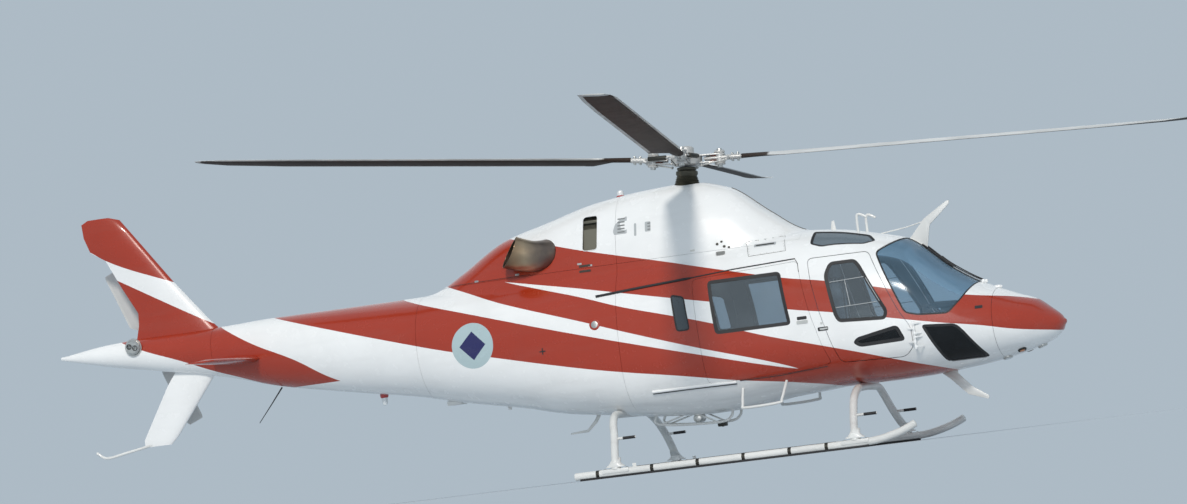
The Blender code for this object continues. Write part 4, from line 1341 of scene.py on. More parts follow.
    def sweep(
        self, points: Sequence[Point], radii: float | Sequence[float], sides: int = 16,
        flat: tuple[float, float] = (1, 1), wall: float = 0.0, tint: int = 0,
    ) -> Form:
        """Adds a round or oval bar, or a pipe, along a chain of points.

        Args:
            points: The chain.
            radii: One radius, or one for each point.
            sides: How many faces go round.
            flat: Scales of the section across and along its first direction.
            wall: The pipe's wall, or 0 for a solid bar.
            tint: The number of its finish.

        Returns:
            The form.
        """
        chain = [Vector(point) for point in points]
        sizes = [radii] * len(chain) if isinstance(radii, (int, float)) else list(radii)
        way = (chain[1] - chain[0]).normalized()
        turn = Vector((0, 0, 1)).rotation_difference(way)
        part = bmesh.new()
        loops = []
        for index, (here, size) in enumerate(zip(chain, sizes)):
            ahead = (chain[min(index + 1, len(chain) - 1)] - chain[max(index - 1, 0)]).normalized()
            turn = way.rotation_difference(ahead) @ turn
            way = ahead
            place = Matrix.Translation(here) @ turn.to_matrix().to_4x4()
            place = place @ Matrix.Diagonal((*flat, 1, 1))
            verts = bmesh.ops.create_circle(part, segments=sides, radius=size, matrix=place)["verts"]
            loops.append(list({edge for vert in verts for edge in vert.link_edges}))
        for low, high in zip(loops, loops[1:]):
            bmesh.ops.bridge_loops(part, edges=low + high)
        if wall:
            bmesh.ops.recalc_face_normals(part, faces=part.faces)
            bmesh.ops.solidify(part, geom=part.faces[:], thickness=wall)
        else:
            bmesh.ops.holes_fill(part, edges=loops[0] + loops[-1], sides=0)
        return self.join(part, tint)

    def ring(self, chain: Sequence[Point], radius: float, sides: int = 8, tint: int = 0) -> Form:
        """Adds a bead along a closed chain of points.

        Args:
            chain: The points along it.
            radius: Its radius.
            sides: The sides round it.
            tint: The index of its finish.

        Returns:
            This form.
        """
        loop = [Vector(point) for point in chain]
        part = bmesh.new()
        loops = []
        for index, here in enumerate(loop):
            ahead = loop[(index + 1) % len(loop)] - loop[index - 1]
            turn = ahead.to_track_quat("Z", "Y").to_matrix().to_4x4()
            verts = bmesh.ops.create_circle(
                part, segments=sides, radius=radius, matrix=Matrix.Translation(here) @ turn
            )["verts"]
            loops.append(list({edge for vert in verts for edge in vert.link_edges}))
        for low, high in zip(loops, loops[1:] + loops[:1]):
            bmesh.ops.bridge_loops(part, edges=low + high)
        return self.join(part, tint)

    def placed(self, matrix: Matrix) -> Form:
        """Moves all that is there so far."""
        bmesh.ops.transform(self.mesh, matrix=matrix, verts=self.mesh.verts)
        return self

    def cut(self, *tools: tuple[str, Form]) -> Form:
        """Cuts the form with others.

        Args:
            tools: An operation and the form to do it with, which is used up, in order.

        Returns:
            The form.
        """
        target = self.loan(self.mesh)
        lent = []
        for operation, tool in tools:
            lent.append(self.loan(tool.mesh))
            step = target.modifiers.new("cut", "BOOLEAN")
            step.operation = operation
            step.object = lent[-1]
            step.solver = "EXACT"
        bpy.context.view_layer.update()
        graph = bpy.context.evaluated_depsgraph_get()
        result = bpy.data.meshes.new_from_object(target.evaluated_get(graph))
        self.mesh = bmesh.new()
        self.mesh.from_mesh(result)
        for item in (target, *lent):
            bpy.data.meshes.remove(item.data)
        bpy.data.meshes.remove(result)
        return self

    @staticmethod
    def loan(shape: bmesh.types.BMesh) -> bpy.types.Object:
        """An object of a mesh for as long as a cut takes.

        Args:
            shape: The mesh.

        Returns:
            The object.
        """
        mesh = bpy.data.meshes.new("loan")
        shape.to_mesh(mesh)
        shape.free()
        item = bpy.data.objects.new("loan", mesh)
        bpy.context.scene.collection.objects.link(item)
        return item

    def mark(self, name: str, value: Callable[[Vector], float]) -> Form:
        """Writes a number at each point, for a material to read.

        Args:
            name: The attribute's name.
            value: What gives the number at a point.

        Returns:
            This form.
        """
        layer = self.mesh.verts.layers.float.new(name)
        for vert in self.mesh.verts:
            vert[layer] = value(vert.co)
        return self

    def done(
        self, name: str, finish: Finish | Sequence[Finish], slot: str, body: str = "airframe",
        replaces: Sequence[str] = (), smooth: float = 38.0, on_hull: bool = False,
    ) -> bpy.types.Object:
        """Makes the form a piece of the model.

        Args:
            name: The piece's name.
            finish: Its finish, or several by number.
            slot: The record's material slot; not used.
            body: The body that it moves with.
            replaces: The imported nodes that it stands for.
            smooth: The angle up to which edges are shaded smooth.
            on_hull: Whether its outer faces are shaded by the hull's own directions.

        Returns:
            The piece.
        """
        finishes = [finish] if isinstance(finish, Finish) else list(finish)
        mesh = bpy.data.meshes.new(name)
        self.mesh.to_mesh(mesh)
        self.mesh.free()
        mesh.shade_smooth()
        mesh.set_sharp_from_angle(angle=math.radians(smooth))
        if on_hull:
            self._shade(mesh)
        mesh.transform(Matrix.Translation((MAST_X, 0, 0)))
        for item in finishes:
            mesh.materials.append(item.material())
        piece = bpy.data.objects.new(name, mesh)
        bpy.context.scene.collection.objects.link(piece)
        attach(piece, body)
        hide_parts(*replaces)
        LOG.info("%s: %d faces on %s", name, len(mesh.polygons), body)
        return piece

    @staticmethod
    def _shade(mesh: bpy.types.Mesh) -> None:
        """Shades faces that follow the hull by the hull's own directions.

        Args:
            mesh: The mesh.
        """
        count = len(mesh.vertices)
        places = np.zeros(count * 3)
        mesh.vertices.foreach_get("co", places)
        directions = HULL.normals(places.reshape(-1, 3))
        corners = np.zeros(len(mesh.loops), int)
        mesh.loops.foreach_get("vertex_index", corners)
        faces = np.zeros(len(mesh.polygons) * 3)
        mesh.polygons.foreach_get("normal", faces)
        totals = np.zeros(len(mesh.polygons), int)
        mesh.polygons.foreach_get("loop_total", totals)
        facing = np.repeat(faces.reshape(-1, 3), totals, axis=0)
        wanted = directions[corners]
        match = (facing * wanted).sum(1)
        outside = np.where((match > 0.9)[:, None], wanted, 0)
        chosen = outside - np.where((match < -0.9)[:, None], wanted, 0)
        mesh.normals_split_custom_set([tuple(row) for row in chosen])


def hull_shell(
    low: float, high: float, wall: float, side: Side | None = None, out: float = 0.0,
    step: float = 0.03,
) -> Form:
    """A layer of the hull between two stations.

    Args:
        low: The rear station.
        high: The front station.
        wall: How thick the layer is, inwards.
        side: One half only, or both.
        out: How far outside the hull its outer face lies.
        step: The length of a face.

    Returns:
        The layer.
    """
    shape = HULL.sheet(low, high, side, out, step)
    for tip in (TAIL_TIP, NOSE_TIP):
        loop = [
            edge for edge in shape.edges
            if edge.is_boundary and all(abs(vert.co.x - tip) < 0.001 for vert in edge.verts)
        ]
        if loop:
            bmesh.ops.holes_fill(shape, edges=loop, sides=0)
    bmesh.ops.solidify(shape, geom=shape.faces[:], thickness=wall)
    return Form(shape)


def skin(form: Form, node: str) -> None:
    """Makes a form the painted skin of one of the hull's nodes."""
    form.done(f"{node}_skin", HULL_PAINT, "white_paint", replaces=[node], on_hull=True)


def split_deck(sheet: bmesh.types.BMesh, keep_above: bool) -> bmesh.types.BMesh:
    """Keeps the part of an open hull sheet above or below the deck.

    Args:
        sheet: The sheet.
        keep_above: Whether the upper part is kept.

    Returns:
        The same sheet.
    """
    bmesh.ops.bisect_plane(
        sheet, geom=sheet.verts[:] + sheet.edges[:] + sheet.faces[:],
        plane_co=(0, 0, DECK_Z + (HALF_SEAM if keep_above else -HALF_SEAM)), plane_no=(0, 0, 1),
        clear_inner=keep_above, clear_outer=not keep_above,
    )
    return sheet


def lined(form: Form) -> Form:
    """Gives the faces that look into the cabin the second finish.

    Args:
        form: The form.

    Returns:
        The same form.
    """
    middles = np.array([face.calc_center_median() for face in form.mesh.faces])
    outward = HULL.normals(middles)
    for face, way in zip(form.mesh.faces, outward):
        face.normal_update()
        if face.normal.dot(Vector(way)) < -0.3:
            face.material_index = 1
    return form


@dataclass
class Opening:
    """A window or door outline.

    Attributes:
        outline: Its corners, station and height, or station and distance from the middle.
        radius: How far its corners are rounded.
        near: Where its prism starts, as a distance from the middle.
        from_above: Whether the outline is seen from above.
    """

    outline: Outline
    radius: float = 0.05
    near: float = 0.20
    from_above: bool = False

    def prism(self, side: Side, inset: float = 0.0) -> Form:
        """The prism that cuts this outline through one side.

        Args:
            side: Which side.
            inset: How far the outline is moved in.

        Returns:
            The prism.
        """
        shaped = rounded(moved_in(self.outline, inset), max(self.radius - inset, 0.006))
        if self.from_above:
            flat = [(point.x, side.value * point.y) for point in shaped]
            return Form().prism(flat, 1.6, 2.7, "Z")
        ends = sorted((side.value * (self.near + inset), side.value * 1.2))
        return Form().prism(shaped, *ends)


@dataclass
class Fuselage:
    """The painted skin: nose, cabin, rear fuselage, boom and tail cone, with doors and windows.

    Attributes:
        seam: Half the gap between two panels.
        wall: The thickness of the cabin's wall.
        door_gap: How far a cockpit door's edge lies inside its opening.
        slide_gap: The same for a sliding door.
        cockpit_door: The hinged door's outline.
        cabin_door: The sliding door's outline.
        windows: Each window's outline and the stations between which its pane lies.
        door_windows: The same of the doors' windows, after the door that carries them.
        seal_widths: How far the seals reach over their panes, where it isn't 24 mm.
        sliding_frame: The bars of the small sliding window in the cockpit door.
        hinge_heights: The heights of a cockpit door's two hinges.
        hinge_pin: The station of their pins.
    """

    seam: float = HALF_SEAM
    wall: float = 0.030
    door_gap: float = 0.006
    slide_gap: float = 0.003
    cockpit_door: Opening = field(default_factory=lambda: Opening(
        ((1.36, 2.03), (1.39, 1.80), (1.46, 1.45), (1.55, 1.11), (1.62, 0.90), (2.30, 0.88),
         (2.41, 0.98), (2.41, 1.18), (2.30, 1.37), (2.01, 2.03)), 0.06))
    cabin_door: Opening = field(default_factory=lambda: Opening(
        ((0.10, 1.97), (0.16, 0.85), (1.17, 0.87), (1.52, 0.91), (1.45, 1.11), (1.36, 1.45),
         (1.29, 1.80), (1.26, 2.02)), 0.06))
    windows: dict[str, tuple[Opening, tuple[float, float]]] = field(default_factory=lambda: {
        "windscreen": (Opening(((2.075, 2.01), (2.36, 1.33), (2.50, 1.29), (2.80, 1.27), (2.93, 1.40),
                                (3.08, 1.62), (2.62, 2.20), (2.36, 2.16), (2.22, 2.09)), 0.05, 0.035),
                       (1.9, 3.2)),
        "chin_window": (Opening(((2.51, 1.19), (2.69, 0.78), (3.12, 0.78), (2.93, 1.08), (2.86, 1.16))),
                        (2.4, 3.21)),
        "rear_window": (Opening(((-0.14, 1.84), (-0.10, 1.44), (0.05, 1.44), (0.01, 1.80)), 0.04),
                        (-0.3, 0.3)),
        "roof_window": (Opening(((1.38, 0.27), (1.38, 0.53), (1.50, 0.565), (1.95, 0.50),
                                 (2.06, 0.42), (1.97, 0.28)), 0.03, from_above=True), (1.2, 2.3)),
    })
    door_windows: dict[str, tuple[str, Opening, tuple[float, float]]] = field(default_factory=lambda: {
        "cockpit_door_window": ("cockpit", Opening(
            ((1.54, 1.83), (1.62, 1.39), (1.66, 1.32), (2.16, 1.29), (2.19, 1.38), (1.93, 1.89),
             (1.87, 1.96), (1.60, 1.96))), (1.4, 2.3)),
        "cockpit_door_lower_window": ("cockpit", Opening(
            ((1.78, 1.09), (1.85, 1.04), (2.34, 1.05), (2.27, 1.22), (1.83, 1.14))), (1.65, 2.45)),
        "cabin_door_window": ("cabin", Opening(
            ((0.27, 1.93), (0.32, 1.36), (1.15, 1.36), (1.07, 1.93))), (0.1, 1.4)),
    })
    seal_widths: dict[str, float] = field(default_factory=lambda: {
        "windscreen": 0.013, "rear": 0.012, "cockpit": 0.034, "cabin": 0.034,
    })
    sliding_frame: tuple[Outline, ...] = (
        ((1.60, 1.750), (1.965, 1.764)), ((1.645, 1.476), (2.085, 1.486)),
        ((1.763, 1.753), (1.802, 1.480)), ((1.985, 1.750), (2.115, 1.490)),
    )
    hinge_heights: tuple[float, ...] = (1.02, 1.16)
    hinge_pin: float = 2.44

    def build(self) -> None:
        """Builds every panel, door and pane."""
        self.panels()
        self.cabin()
        self.wipers()
        for side in Side:
            self.doors(side)
            self.glaze(side)
            self.hinges(side)

    def panels(self) -> None:
        """The plain panels: nose, rear fuselage, boom and tail cone."""
        for node, low, high, wall, step in (
            ("nose_cone", NOSE_SPLIT + self.seam, NOSE_TIP, 0.012, 0.02),
            ("tail_boom", TAIL_SPLIT + self.seam, BOOM_SPLIT - self.seam, 0.012, 0.05),
            ("tail_cone", TAIL_TIP, TAIL_SPLIT - self.seam, 0.010, 0.04),
        ):
            skin(hull_shell(low, high, wall, step=step), node)
        rear = split_deck(HULL.sheet(BOOM_SPLIT + self.seam, CABIN_REAR - self.seam), False)
        bmesh.ops.solidify(rear, geom=rear.faces[:], thickness=0.02)
        skin(Form(rear), "rear_fuselage")

    def cabin(self) -> None:
        """The cabin's skin with its openings."""
        shell = hull_shell(CABIN_REAR + self.seam, NOSE_SPLIT - self.seam, self.wall)
        above_deck = Form().box((-4, -1.2, DECK_Z - self.seam), (COWL_FRONT, 1.2, 3.4), 0)
        holes = Form()
        windows = [opening for opening, _ in self.windows.values()]
        for side in Side:
            for opening in (self.cockpit_door, self.cabin_door, *windows):
                holes.add(opening.prism(side))
        shell.cut(("DIFFERENCE", above_deck), ("DIFFERENCE", holes))
        lined(shell).done(
            "cabin_skin", (HULL_PAINT, TRIM), "white_paint", replaces=["cabin_shell"], on_hull=True
        )

    def doors(self, side: Side) -> None:
        """The hinged and the sliding door of one side.

        Args:
            side: Which side.
        """
        for kind, opening, span, gap, body in (
            ("cockpit", self.cockpit_door, (1.2, 2.5), self.door_gap, f"{side.label}_cockpit_door"),
            ("cabin", self.cabin_door, (0.0, 1.6), self.slide_gap, "airframe"),
        ):
            leaf = hull_shell(*span, self.wall, side)
            steps = [("INTERSECT", opening.prism(side, gap))]
            for owner, window, _ in self.door_windows.values():
                if owner == kind:
                    steps.append(("DIFFERENCE", window.prism(side)))
            lined(leaf.cut(*steps)).done(
                f"{kind}_door_skin_{side.label}", (HULL_PAINT, TRIM), "white_paint", body,
                [f"{kind}_door_{side.label}"], on_hull=True,
            )

    def glaze(self, side: Side) -> None:
        """The panes of one side, each with its rubber seal.

        Args:
            side: Which side.
        """
        for name, (opening, span) in self.windows.items():
            tint = {"chin_window": DARK_GLASS, "windscreen": SCREEN_GLASS}.get(name, GLASS)
            self.pane(f"{name}_{side.label}", opening, span, side, "airframe", tint)
        for name, (owner, opening, span) in self.door_windows.items():
            body = f"{side.label}_cockpit_door" if owner == "cockpit" else "airframe"
            tint = DARK_GLASS if "lower" in name else GLASS
            self.pane(f"{name}_{side.label}", opening, span, side, body, tint)

    def pane(
        self, name: str, opening: Opening, span: tuple[float, float], side: Side, body: str,
        tint: Glass,
    ) -> None:
        """One pane and its seal.

        Args:
            name: The node that it stands for.
            opening: Its outline.
            span: The stations between which it lies.
            side: Which side.
            body: The body that it moves with.
            tint: The glass.
        """
        glass = hull_shell(*span, 0.005, side, -0.006)
        glass.cut(("INTERSECT", opening.prism(side, 0.002)))
        rims = self.rims(glass.mesh)
        glass.done(f"{name}_pane", tint, "clear_pane", body, [name], on_hull=True)
        seal = Form()
        wide = self.seal_widths.get(name.split("_")[0], 0.024)
        for loop in rims:
            seal.loft(self.strip(loop, wide), capped=False)
        if name.startswith("cockpit_door_window"):
            for line in self.sliding_frame:
                self.bar(seal, line, side, 0.0045, -0.004, 1)
        seal.done(f"{name}_seal", (RUBBER, GREY), "cabin_trim", body)

    @staticmethod
    def bar(form: Form, line: Outline, side: Side, radius: float, out: float, tint: int) -> None:
        """Adds a thin bar that follows the flank.

        Args:
            form: The form to add it to.
            line: Stations and heights to pass through.
            side: Which side.
            radius: Half its width.
            out: How far outside the hull its middle lies.
            tint: The number of its finish.
        """
        chain = [*HULL.line(line, side, out), HULL.at_side(*line[-1], side, out)]
        form.sweep(chain, radius, 10, tint=tint)

    def hinges(self, side: Side) -> None:
        """Both hinges of a cockpit door: a knuckle and lug on the door between two on the frame.

        Args:
            side: Which side.
        """
        pin, half = self.hinge_pin, Vector((0, 0, 0.0245))
        leaf, frame = Form(), Form()
        for z in self.hinge_heights:
            for form, way, levels in ((leaf, -1, (z,)), (frame, 1, (z - 0.0515, z + 0.0515))):
                for level in levels:
                    end = pin + way * 0.075
                    flank = abs(HULL.at_side(end, level, side).y)
                    outline = ((end, flank - 0.004), (end, flank + 0.004), (pin + way * 0.02, 0.8105),
                               (pin, 0.8125), (pin, 0.790), (pin + way * 0.03, 0.7885))
                    flat = [(x, side.value * y) for x, y in outline]
                    form.prism(flat, level - 0.009, level + 0.009, "Z", 0.0015)
                    spot = Vector((pin, side.value * 0.80, level))
                    form.rod(spot - half, spot + half, 0.013, sides=24, bevel=0.0015)
        leaf.done(f"door_hinge_leaves_{side.label}", WHITE, "white_paint", f"{side.label}_cockpit_door")
        frame.done(f"frame_hinge_leaves_{side.label}", WHITE, "white_paint")

    def wipers(self) -> None:
        """Two wipers parked on the centre post, their spindles on the nose."""
        form = Form()
        for y in (-0.060, 0.060):
            blade = [HULL.at_top(x, y, 0.012) for x in np.linspace(2.46, 2.76, 10)]
            form.sweep(blade, 0.008, 8)
            arm = [HULL.at_top(x, y * 1.05, 0.021) for x in np.linspace(2.62, 3.05, 12)]
            form.sweep(arm, 0.0055, 8)
            spot = HULL.at_top(3.07, y * 1.1)
            form.rod(spot, spot + Vector((0, 0, 0.034)), 0.024, 0.018, 20, 0.004, 1)
        bump = HULL.at_top(3.20, 0.0)
        form.ball(bump, (0.055, 0.035, 0.022), 1)
        form.done("wipers", (RUBBER, WHITE), "dark_metal")

    @staticmethod
    def rims(mesh: bmesh.types.BMesh) -> list[list[Vector]]:
        """The closed lines where a pane's outer face ends.

        Args:
            mesh: The pane.

        Returns:
            Each line's points in order, evenly spaced.
        """
        mesh.normal_update()
        outer = set()
        for face in mesh.faces:
            middle = face.calc_center_median()
            outwards = face.normal.dot(HULL.direction(middle)) > 0.7
            if outwards and HULL.gap(np.array([middle]))[0] > -0.009:
                outer.add(face)
        links: dict[bmesh.types.BMVert, list[bmesh.types.BMVert]] = {}
        for edge in mesh.edges:
            if len(outer.intersection(edge.link_faces)) == 1:
                for here, there in (tuple(edge.verts), tuple(edge.verts)[::-1]):
                    links.setdefault(here, []).append(there)
        loops = []
        while links:
            here = next(iter(links))
            chain = []
            while here in links:
                chain.append(here.co.copy())
                near = links.pop(here)
                here = next((vert for vert in near if vert in links), here)
            if len(chain) > 8:
                loops.append(Fuselage.even(chain))
        return loops

    @staticmethod
    def even(chain: list[Vector], spacing: float = 0.018) -> list[Vector]:
        """A closed chain of evenly spaced points along another.

        Args:
            chain: The points along it.
            spacing: The distance between them.

        Returns:
            The new chain.
        """
        ends = chain + chain[:1]
        steps = np.array([(b - a).length for a, b in zip(ends, ends[1:])])
        total = np.concatenate(([0], np.cumsum(steps)))
        wanted = np.linspace(0, total[-1], max(12, round(total[-1] / spacing)), endpoint=False)
        axes = [np.interp(wanted, total, [point[axis] for point in ends]) for axis in range(3)]
        return [Vector(point) for point in zip(*axes)]

    @staticmethod
    def strip(loop: list[Vector], wide: float = 0.022) -> list[list[Vector]]:
        """Rings of a flat rubber strip that lies on a pane's edge.

        Args:
            loop: The pane's edge.
            wide: How far the strip reaches over the pane.

        Returns:
            Four rings and the first again, which close into a strip.
        """
        middle = sum(loop, Vector()) / len(loop)
        rings: list[list[Vector]] = [[], [], [], []]
        for index, here in enumerate(loop):
            along = (loop[(index + 1) % len(loop)] - loop[index - 1]).normalized()
            out = HULL.direction(here)
            inwards = out.cross(along).normalized()
            if inwards.dot(middle - here) < 0:
                inwards = -inwards
            corners = (
                here - inwards * 0.003 - out * 0.004, here - inwards * 0.003 + out * 0.0068,
                here + inwards * wide + out * 0.0015, here + inwards * wide - out * 0.001,
            )
            for ring, corner in zip(rings, corners):
                ring.append(corner)
        return [*rings, rings[0]]


@dataclass
class Cowlings:
    """The gearbox and engine cowlings, with their slots, vents and hatches.

    Attributes:
        wall: How thick they are.
        seam: Half the gap between two panels.
        mast_hole: The radius of the hole that the mast comes through.
        slot: Rear, front, bottom and top of the intake slots.
        hatch: The outline of the hatch.
    """

    wall: float = 0.012
    seam: float = HALF_SEAM
    mast_hole: float = 0.17
    slot: tuple[float, float, float, float] = (-1.13, -0.96, 2.43, 2.80)
    hatch: Outline = ((0.671, 2.296), (1.075, 2.311), (1.123, 2.145), (0.717, 2.136))

    def build(self) -> None:
        """Builds both cowlings and what is on them."""
        front = self.shell(CABIN_REAR + self.seam, COWL_FRONT - self.seam)
        front.cut(("DIFFERENCE", Form().rod((0, 0, 2.7), (0, 0, 3.4), self.mast_hole, sides=48)))
        skin(front, "gearbox_cowling")
        rear = self.shell(COWL_REAR + self.seam, CABIN_REAR - self.seam)
        holes = Form()
        for side in Side:
            holes.add(Exhaust().hole(side))
            holes.add(self.slot_block(side))
        rear.cut(("DIFFERENCE", holes))
        skin(rear, "engine_cowling")
        self.ridge()
        for side in Side:
            self.intake(side)
            self.vents(side)

    def shell(self, low: float, high: float) -> Form:
        """A cowling's skin, open below.

        Args:
            low: The rear station.
            high: The front station.

        Returns:
            The skin.
        """
        sheet = split_deck(HULL.sheet(low, high), True)
        bmesh.ops.solidify(sheet, geom=sheet.faces[:], thickness=self.wall)
        return Form(sheet)

    @property
    def slot_outline(self) -> list[Vector]:
        """The intake slot's outline."""
        low, high, bottom, top = self.slot
        return rounded(rectangle(low, bottom, high, top), 0.04)

    def slot_block(self, side: Side) -> Form:
        """The block that an intake slot takes out of the cowling."""
        ends = sorted((side.value * 0.30, side.value * 0.9))
        return Form().prism(self.slot_outline, *ends)

    def intake(self, side: Side) -> None:
        """The slot's dark screen, its plate and its bar, these two in a beige darkened with painted shade.

        Args:
            side: Which side.
        """
        low, high, bottom, top = self.slot
        middle = (low + high) / 2

        def inside(z: float, deep: float) -> float:
            """How far from the middle a place behind the slot lies."""
            return HULL.at_side(middle, z, side).y - side.value * deep

        form = Form()
        rows = []
        for z in np.linspace(bottom - 0.02, top - 0.004, 8):
            y = inside(z, 0.075)
            section = rectangle(low - 0.015, y, high + 0.015, y - side.value * 0.006)
            rows.append([(*corner, z) for corner in section])
        form.loft(rows)
        # The plate, in its beige darkened with painted shade.
        low_z, high_z = bottom + 0.005, bottom + 0.23
        front = [(inside(z, 0.035), z) for z in (low_z, high_z)]
        back = [(inside(z, 0.0455), z) for z in (high_z, low_z)]
        form.loft([[(x, y, z) for y, z in front + back] for x in (low + 0.003, high - 0.003)], tint=1)
        for index in range(9):
            z = bottom + 0.25 + index * 0.013
            y = inside(z, 0.05)
            form.rod((low, y, z), (high, y, z), 0.0025, sides=8, tint=2)
        y = inside(top - 0.055, 0.025)
        form.box((low + 0.002, y - 0.006, top - 0.075), (high - 0.002, y + 0.006, top - 0.045), 0.004, 1)
        rim = [HULL.at_side(point.x, point.y, side, 0.001) for point in self.slot_outline]
        form.ring(rim, 0.0045, tint=3)
        form.done(f"intake_{side.label}", (OLIVE, SHADED_BEIGE, DARK_METAL, WHITE), "dark_metal")

    def vents(self, side: Side) -> None:
        """Small louvres, caps, latches and a bare access plate of one side.

        Args:
            side: Which side.
        """
        form = Form()
        for outline, slats in (
            (((-0.62, 2.56), (-0.62, 2.745), (-0.70, 2.715), (-0.755, 2.665), (-0.775, 2.60),
              (-0.765, 2.56)), 5),
            (rectangle(-0.537, 2.52, -0.512, 2.655), 0),
            (rectangle(-0.415, 2.55, -0.352, 2.655), 3),
        ):
            corners = rounded(outline, 0.012, 3)
            form.loft([[HULL.at_side(p.x, p.y, side, out) for p in corners] for out in (-0.004, 0.002)])
            low, high = (pick(x for x, _ in outline) for pick in (min, max))
            bottom, top = (pick(z for _, z in outline) for pick in (min, max))
            for index in range(slats):
                level = bottom + (top - bottom) * (index + 0.6) / (slats + 0.2)
                middle, wide = (low + high) / 2 + 0.014, (high - low) * 0.52
                self.plate(form, middle, level, wide, 0.012, side, 3, 0.004)
        for x, z, size in (
            (0.369, 2.314, 0.017), (0.416, 2.334, 0.014), (0.443, 2.28, 0.017), (0.493, 2.266, 0.014),
        ):
            spot = HULL.at_side(x, z, side)
            way = HULL.direction(spot)
            form.rod(spot - way * 0.004, spot + way * 0.006, size, size * 0.8, 16, 0.001, 1)
        for x, z, wide, tall, tint, proud in (
            (0.40, 2.21, 0.10, 0.045, 2, 0.004), (-1.17, 2.30, 0.05, 0.020, 2, 0.003),
            (-1.05, 2.27, 0.05, 0.020, 2, 0.003), (0.10, 2.28, 0.05, 0.020, 2, 0.003),
            (-1.9, 2.28, 0.05, 0.020, 2, 0.003), (-2.4, 2.27, 0.05, 0.020, 2, 0.003),
            (-1.11, 2.245 - 0.028, 0.13, 0.022, 1, 0.005), (-1.11, 2.245 + 0.028, 0.13, 0.022, 1, 0.005),
            (0.88, 2.243, 0.24, 0.030, 0, 0.002), (0.88, 2.243, 0.20, 0.012, 1, 0.003),
        ):
            self.plate(form, x, z, wide, tall, side, tint, proud)
        Fuselage.bar(form, [*self.hatch, self.hatch[0]], side, 0.0022, 0.0003, 1)
        middle = HULL.at_side(0.897, 2.222, side)
        for (x0, z0), (x1, z1) in zip(self.hatch, self.hatch[1:] + self.hatch[:1]):
            for index in range(5):
                share = (index + 0.5) / 5
                spot = HULL.at_side(x0 + (x1 - x0) * share, z0 + (z1 - z0) * share, side)
                inner = spot + (middle - spot).normalized() * 0.014
                form.rod(inner, inner + HULL.direction(spot) * 0.003, 0.0045, 0.0035, 8, 0, 2)
        form.done(f"cowling_fittings_{side.label}", (GREY, DARK_METAL, STEEL, SLAT_GREY), "dark_metal")

    def ridge(self) -> None:
        """The dark seals where the cowling's halves meet on its front slope and along the deck."""
        form = Form()
        form.sweep([HULL.at_top(x, 0.0, 0.0012) for x in np.linspace(0.46, 1.22, 40)], 0.0045, 8)
        for side in Side:
            Fuselage.bar(form, ((-2.75, 2.262), (-2.2, 2.262), (-1.75, 2.262)), side, 0.0028, 0.0, 0)
        form.done("cowling_seals", DARK_METAL, "dark_metal")

    @staticmethod
    def plate(
        form: Form, x: float, z: float, wide: float, tall: float, side: Side, tint: int,
        proud: float = 0.002,
    ) -> None:
        """Adds a small plate that lies on the flank.

        Args:
            form: The form to add it to.
            x: Its middle station.
            z: Its middle height.
            wide: Its width.
            tall: Its height.
            side: Which side.
            tint: The number of its finish.
            proud: How far it stands out.
        """
        outline = rectangle(x - wide / 2, z - tall / 2, x + wide / 2, z + tall / 2)
        corners = rounded(outline, min(wide, tall) * 0.3, 3)
        rings = [[HULL.at_side(p.x, p.y, side, out) for p in corners] for out in (-0.004, proud)]
        form.loft(rings, tint=tint)


@dataclass
class Exhaust:
    """A jet pipe: from the engine's side out through the cowling, then aft and a little up.

    Attributes:
        radius: Its outer radius.
        wall: How thick it is.
        rake: How far its lip leans forward with the height.
        route: Its middle line on the left side.
    """

    radius: float = 0.165
    wall: float = 0.005
    rake: float = 0.32
    route: tuple[Point, ...] = (
        (-1.555, 0.23, 2.45), (-1.58, 0.35, 2.45), (-1.70, 0.49, 2.455), (-1.90, 0.60, 2.52),
    )

    def chain(self, side: Side) -> list[Vector]:
        """The pipe's middle line."""
        return smoothed([(x, side.value * y, z) for x, y, z in self.route], 8)

    def hole(self, side: Side) -> Form:
        """What the pipe takes out of the cowling."""
        chain = self.chain(side)
        return Form().sweep([*chain, 2 * chain[-1] - chain[-2]], self.radius + 0.004, 40)

    def build(self) -> None:
        """Builds both pipes, each with a rolled lip, two welded beads and a sooty bore."""
        for side in Side:
            chain = self.chain(side)
            form = Form().sweep(chain, self.radius, 56, wall=self.wall)
            form.sweep(chain[4:-1], self.radius - self.wall - 0.0006, 56, wall=0.002, tint=1)
            for index, bead in ((len(chain) - 1, 0.0045), (10, 0.0035), (17, 0.0035)):
                here = chain[index]
                way = (here - chain[index - 1]).normalized()
                turn = way.to_track_quat("Z", "Y")
                reach = self.radius - bead
                circle = [here + turn @ Vector((math.cos(a), math.sin(a), 0)) * reach for a in around(56)]
                form.ring(circle, bead)
            form.rod(chain[5], chain[6], self.radius * 0.95, sides=40, tint=1)
            for vert in form.mesh.verts:
                share = min(max((-1.66 - vert.co.x) / 0.24, 0), 1)
                vert.co.x += self.rake * share * (vert.co.z - self.route[-1][2])
            form.done(
                f"exhaust_pipe_{side.label}", (EXHAUST_METAL, SOOT_AND_SHADE), "hot_metal",
                replaces=[f"exhaust_{side.label}"],
            )


def foil_section(lead: float, trail: float, thick: float, count: int = 14) -> list[tuple[float, float]]:
    """Chord and thickness of a streamlined section's points.

    Args:
        lead: The leading edge.
        trail: The trailing edge.
        thick: The greatest thickness.
        count: How many points each face has.

    Returns:
        The points, round from the leading edge.
    """
    shares = [(1 - math.cos(math.pi * i / count)) / 2 for i in range(count + 1)]
    depths = [5 * (0.2969 * math.sqrt(t) - 0.126 * t - 0.3516 * t * t + 0.2843 * t**3 - 0.1015 * t**4)
              for t in shares]
    depths[-1] = 0.02
    chord = trail - lead
    upper = [(lead + t * chord, d * thick) for t, d in zip(shares, depths)]
    lower = [(lead + t * chord, -d * thick) for t, d in zip(shares[1:], depths[1:])]
    return upper + lower[::-1]


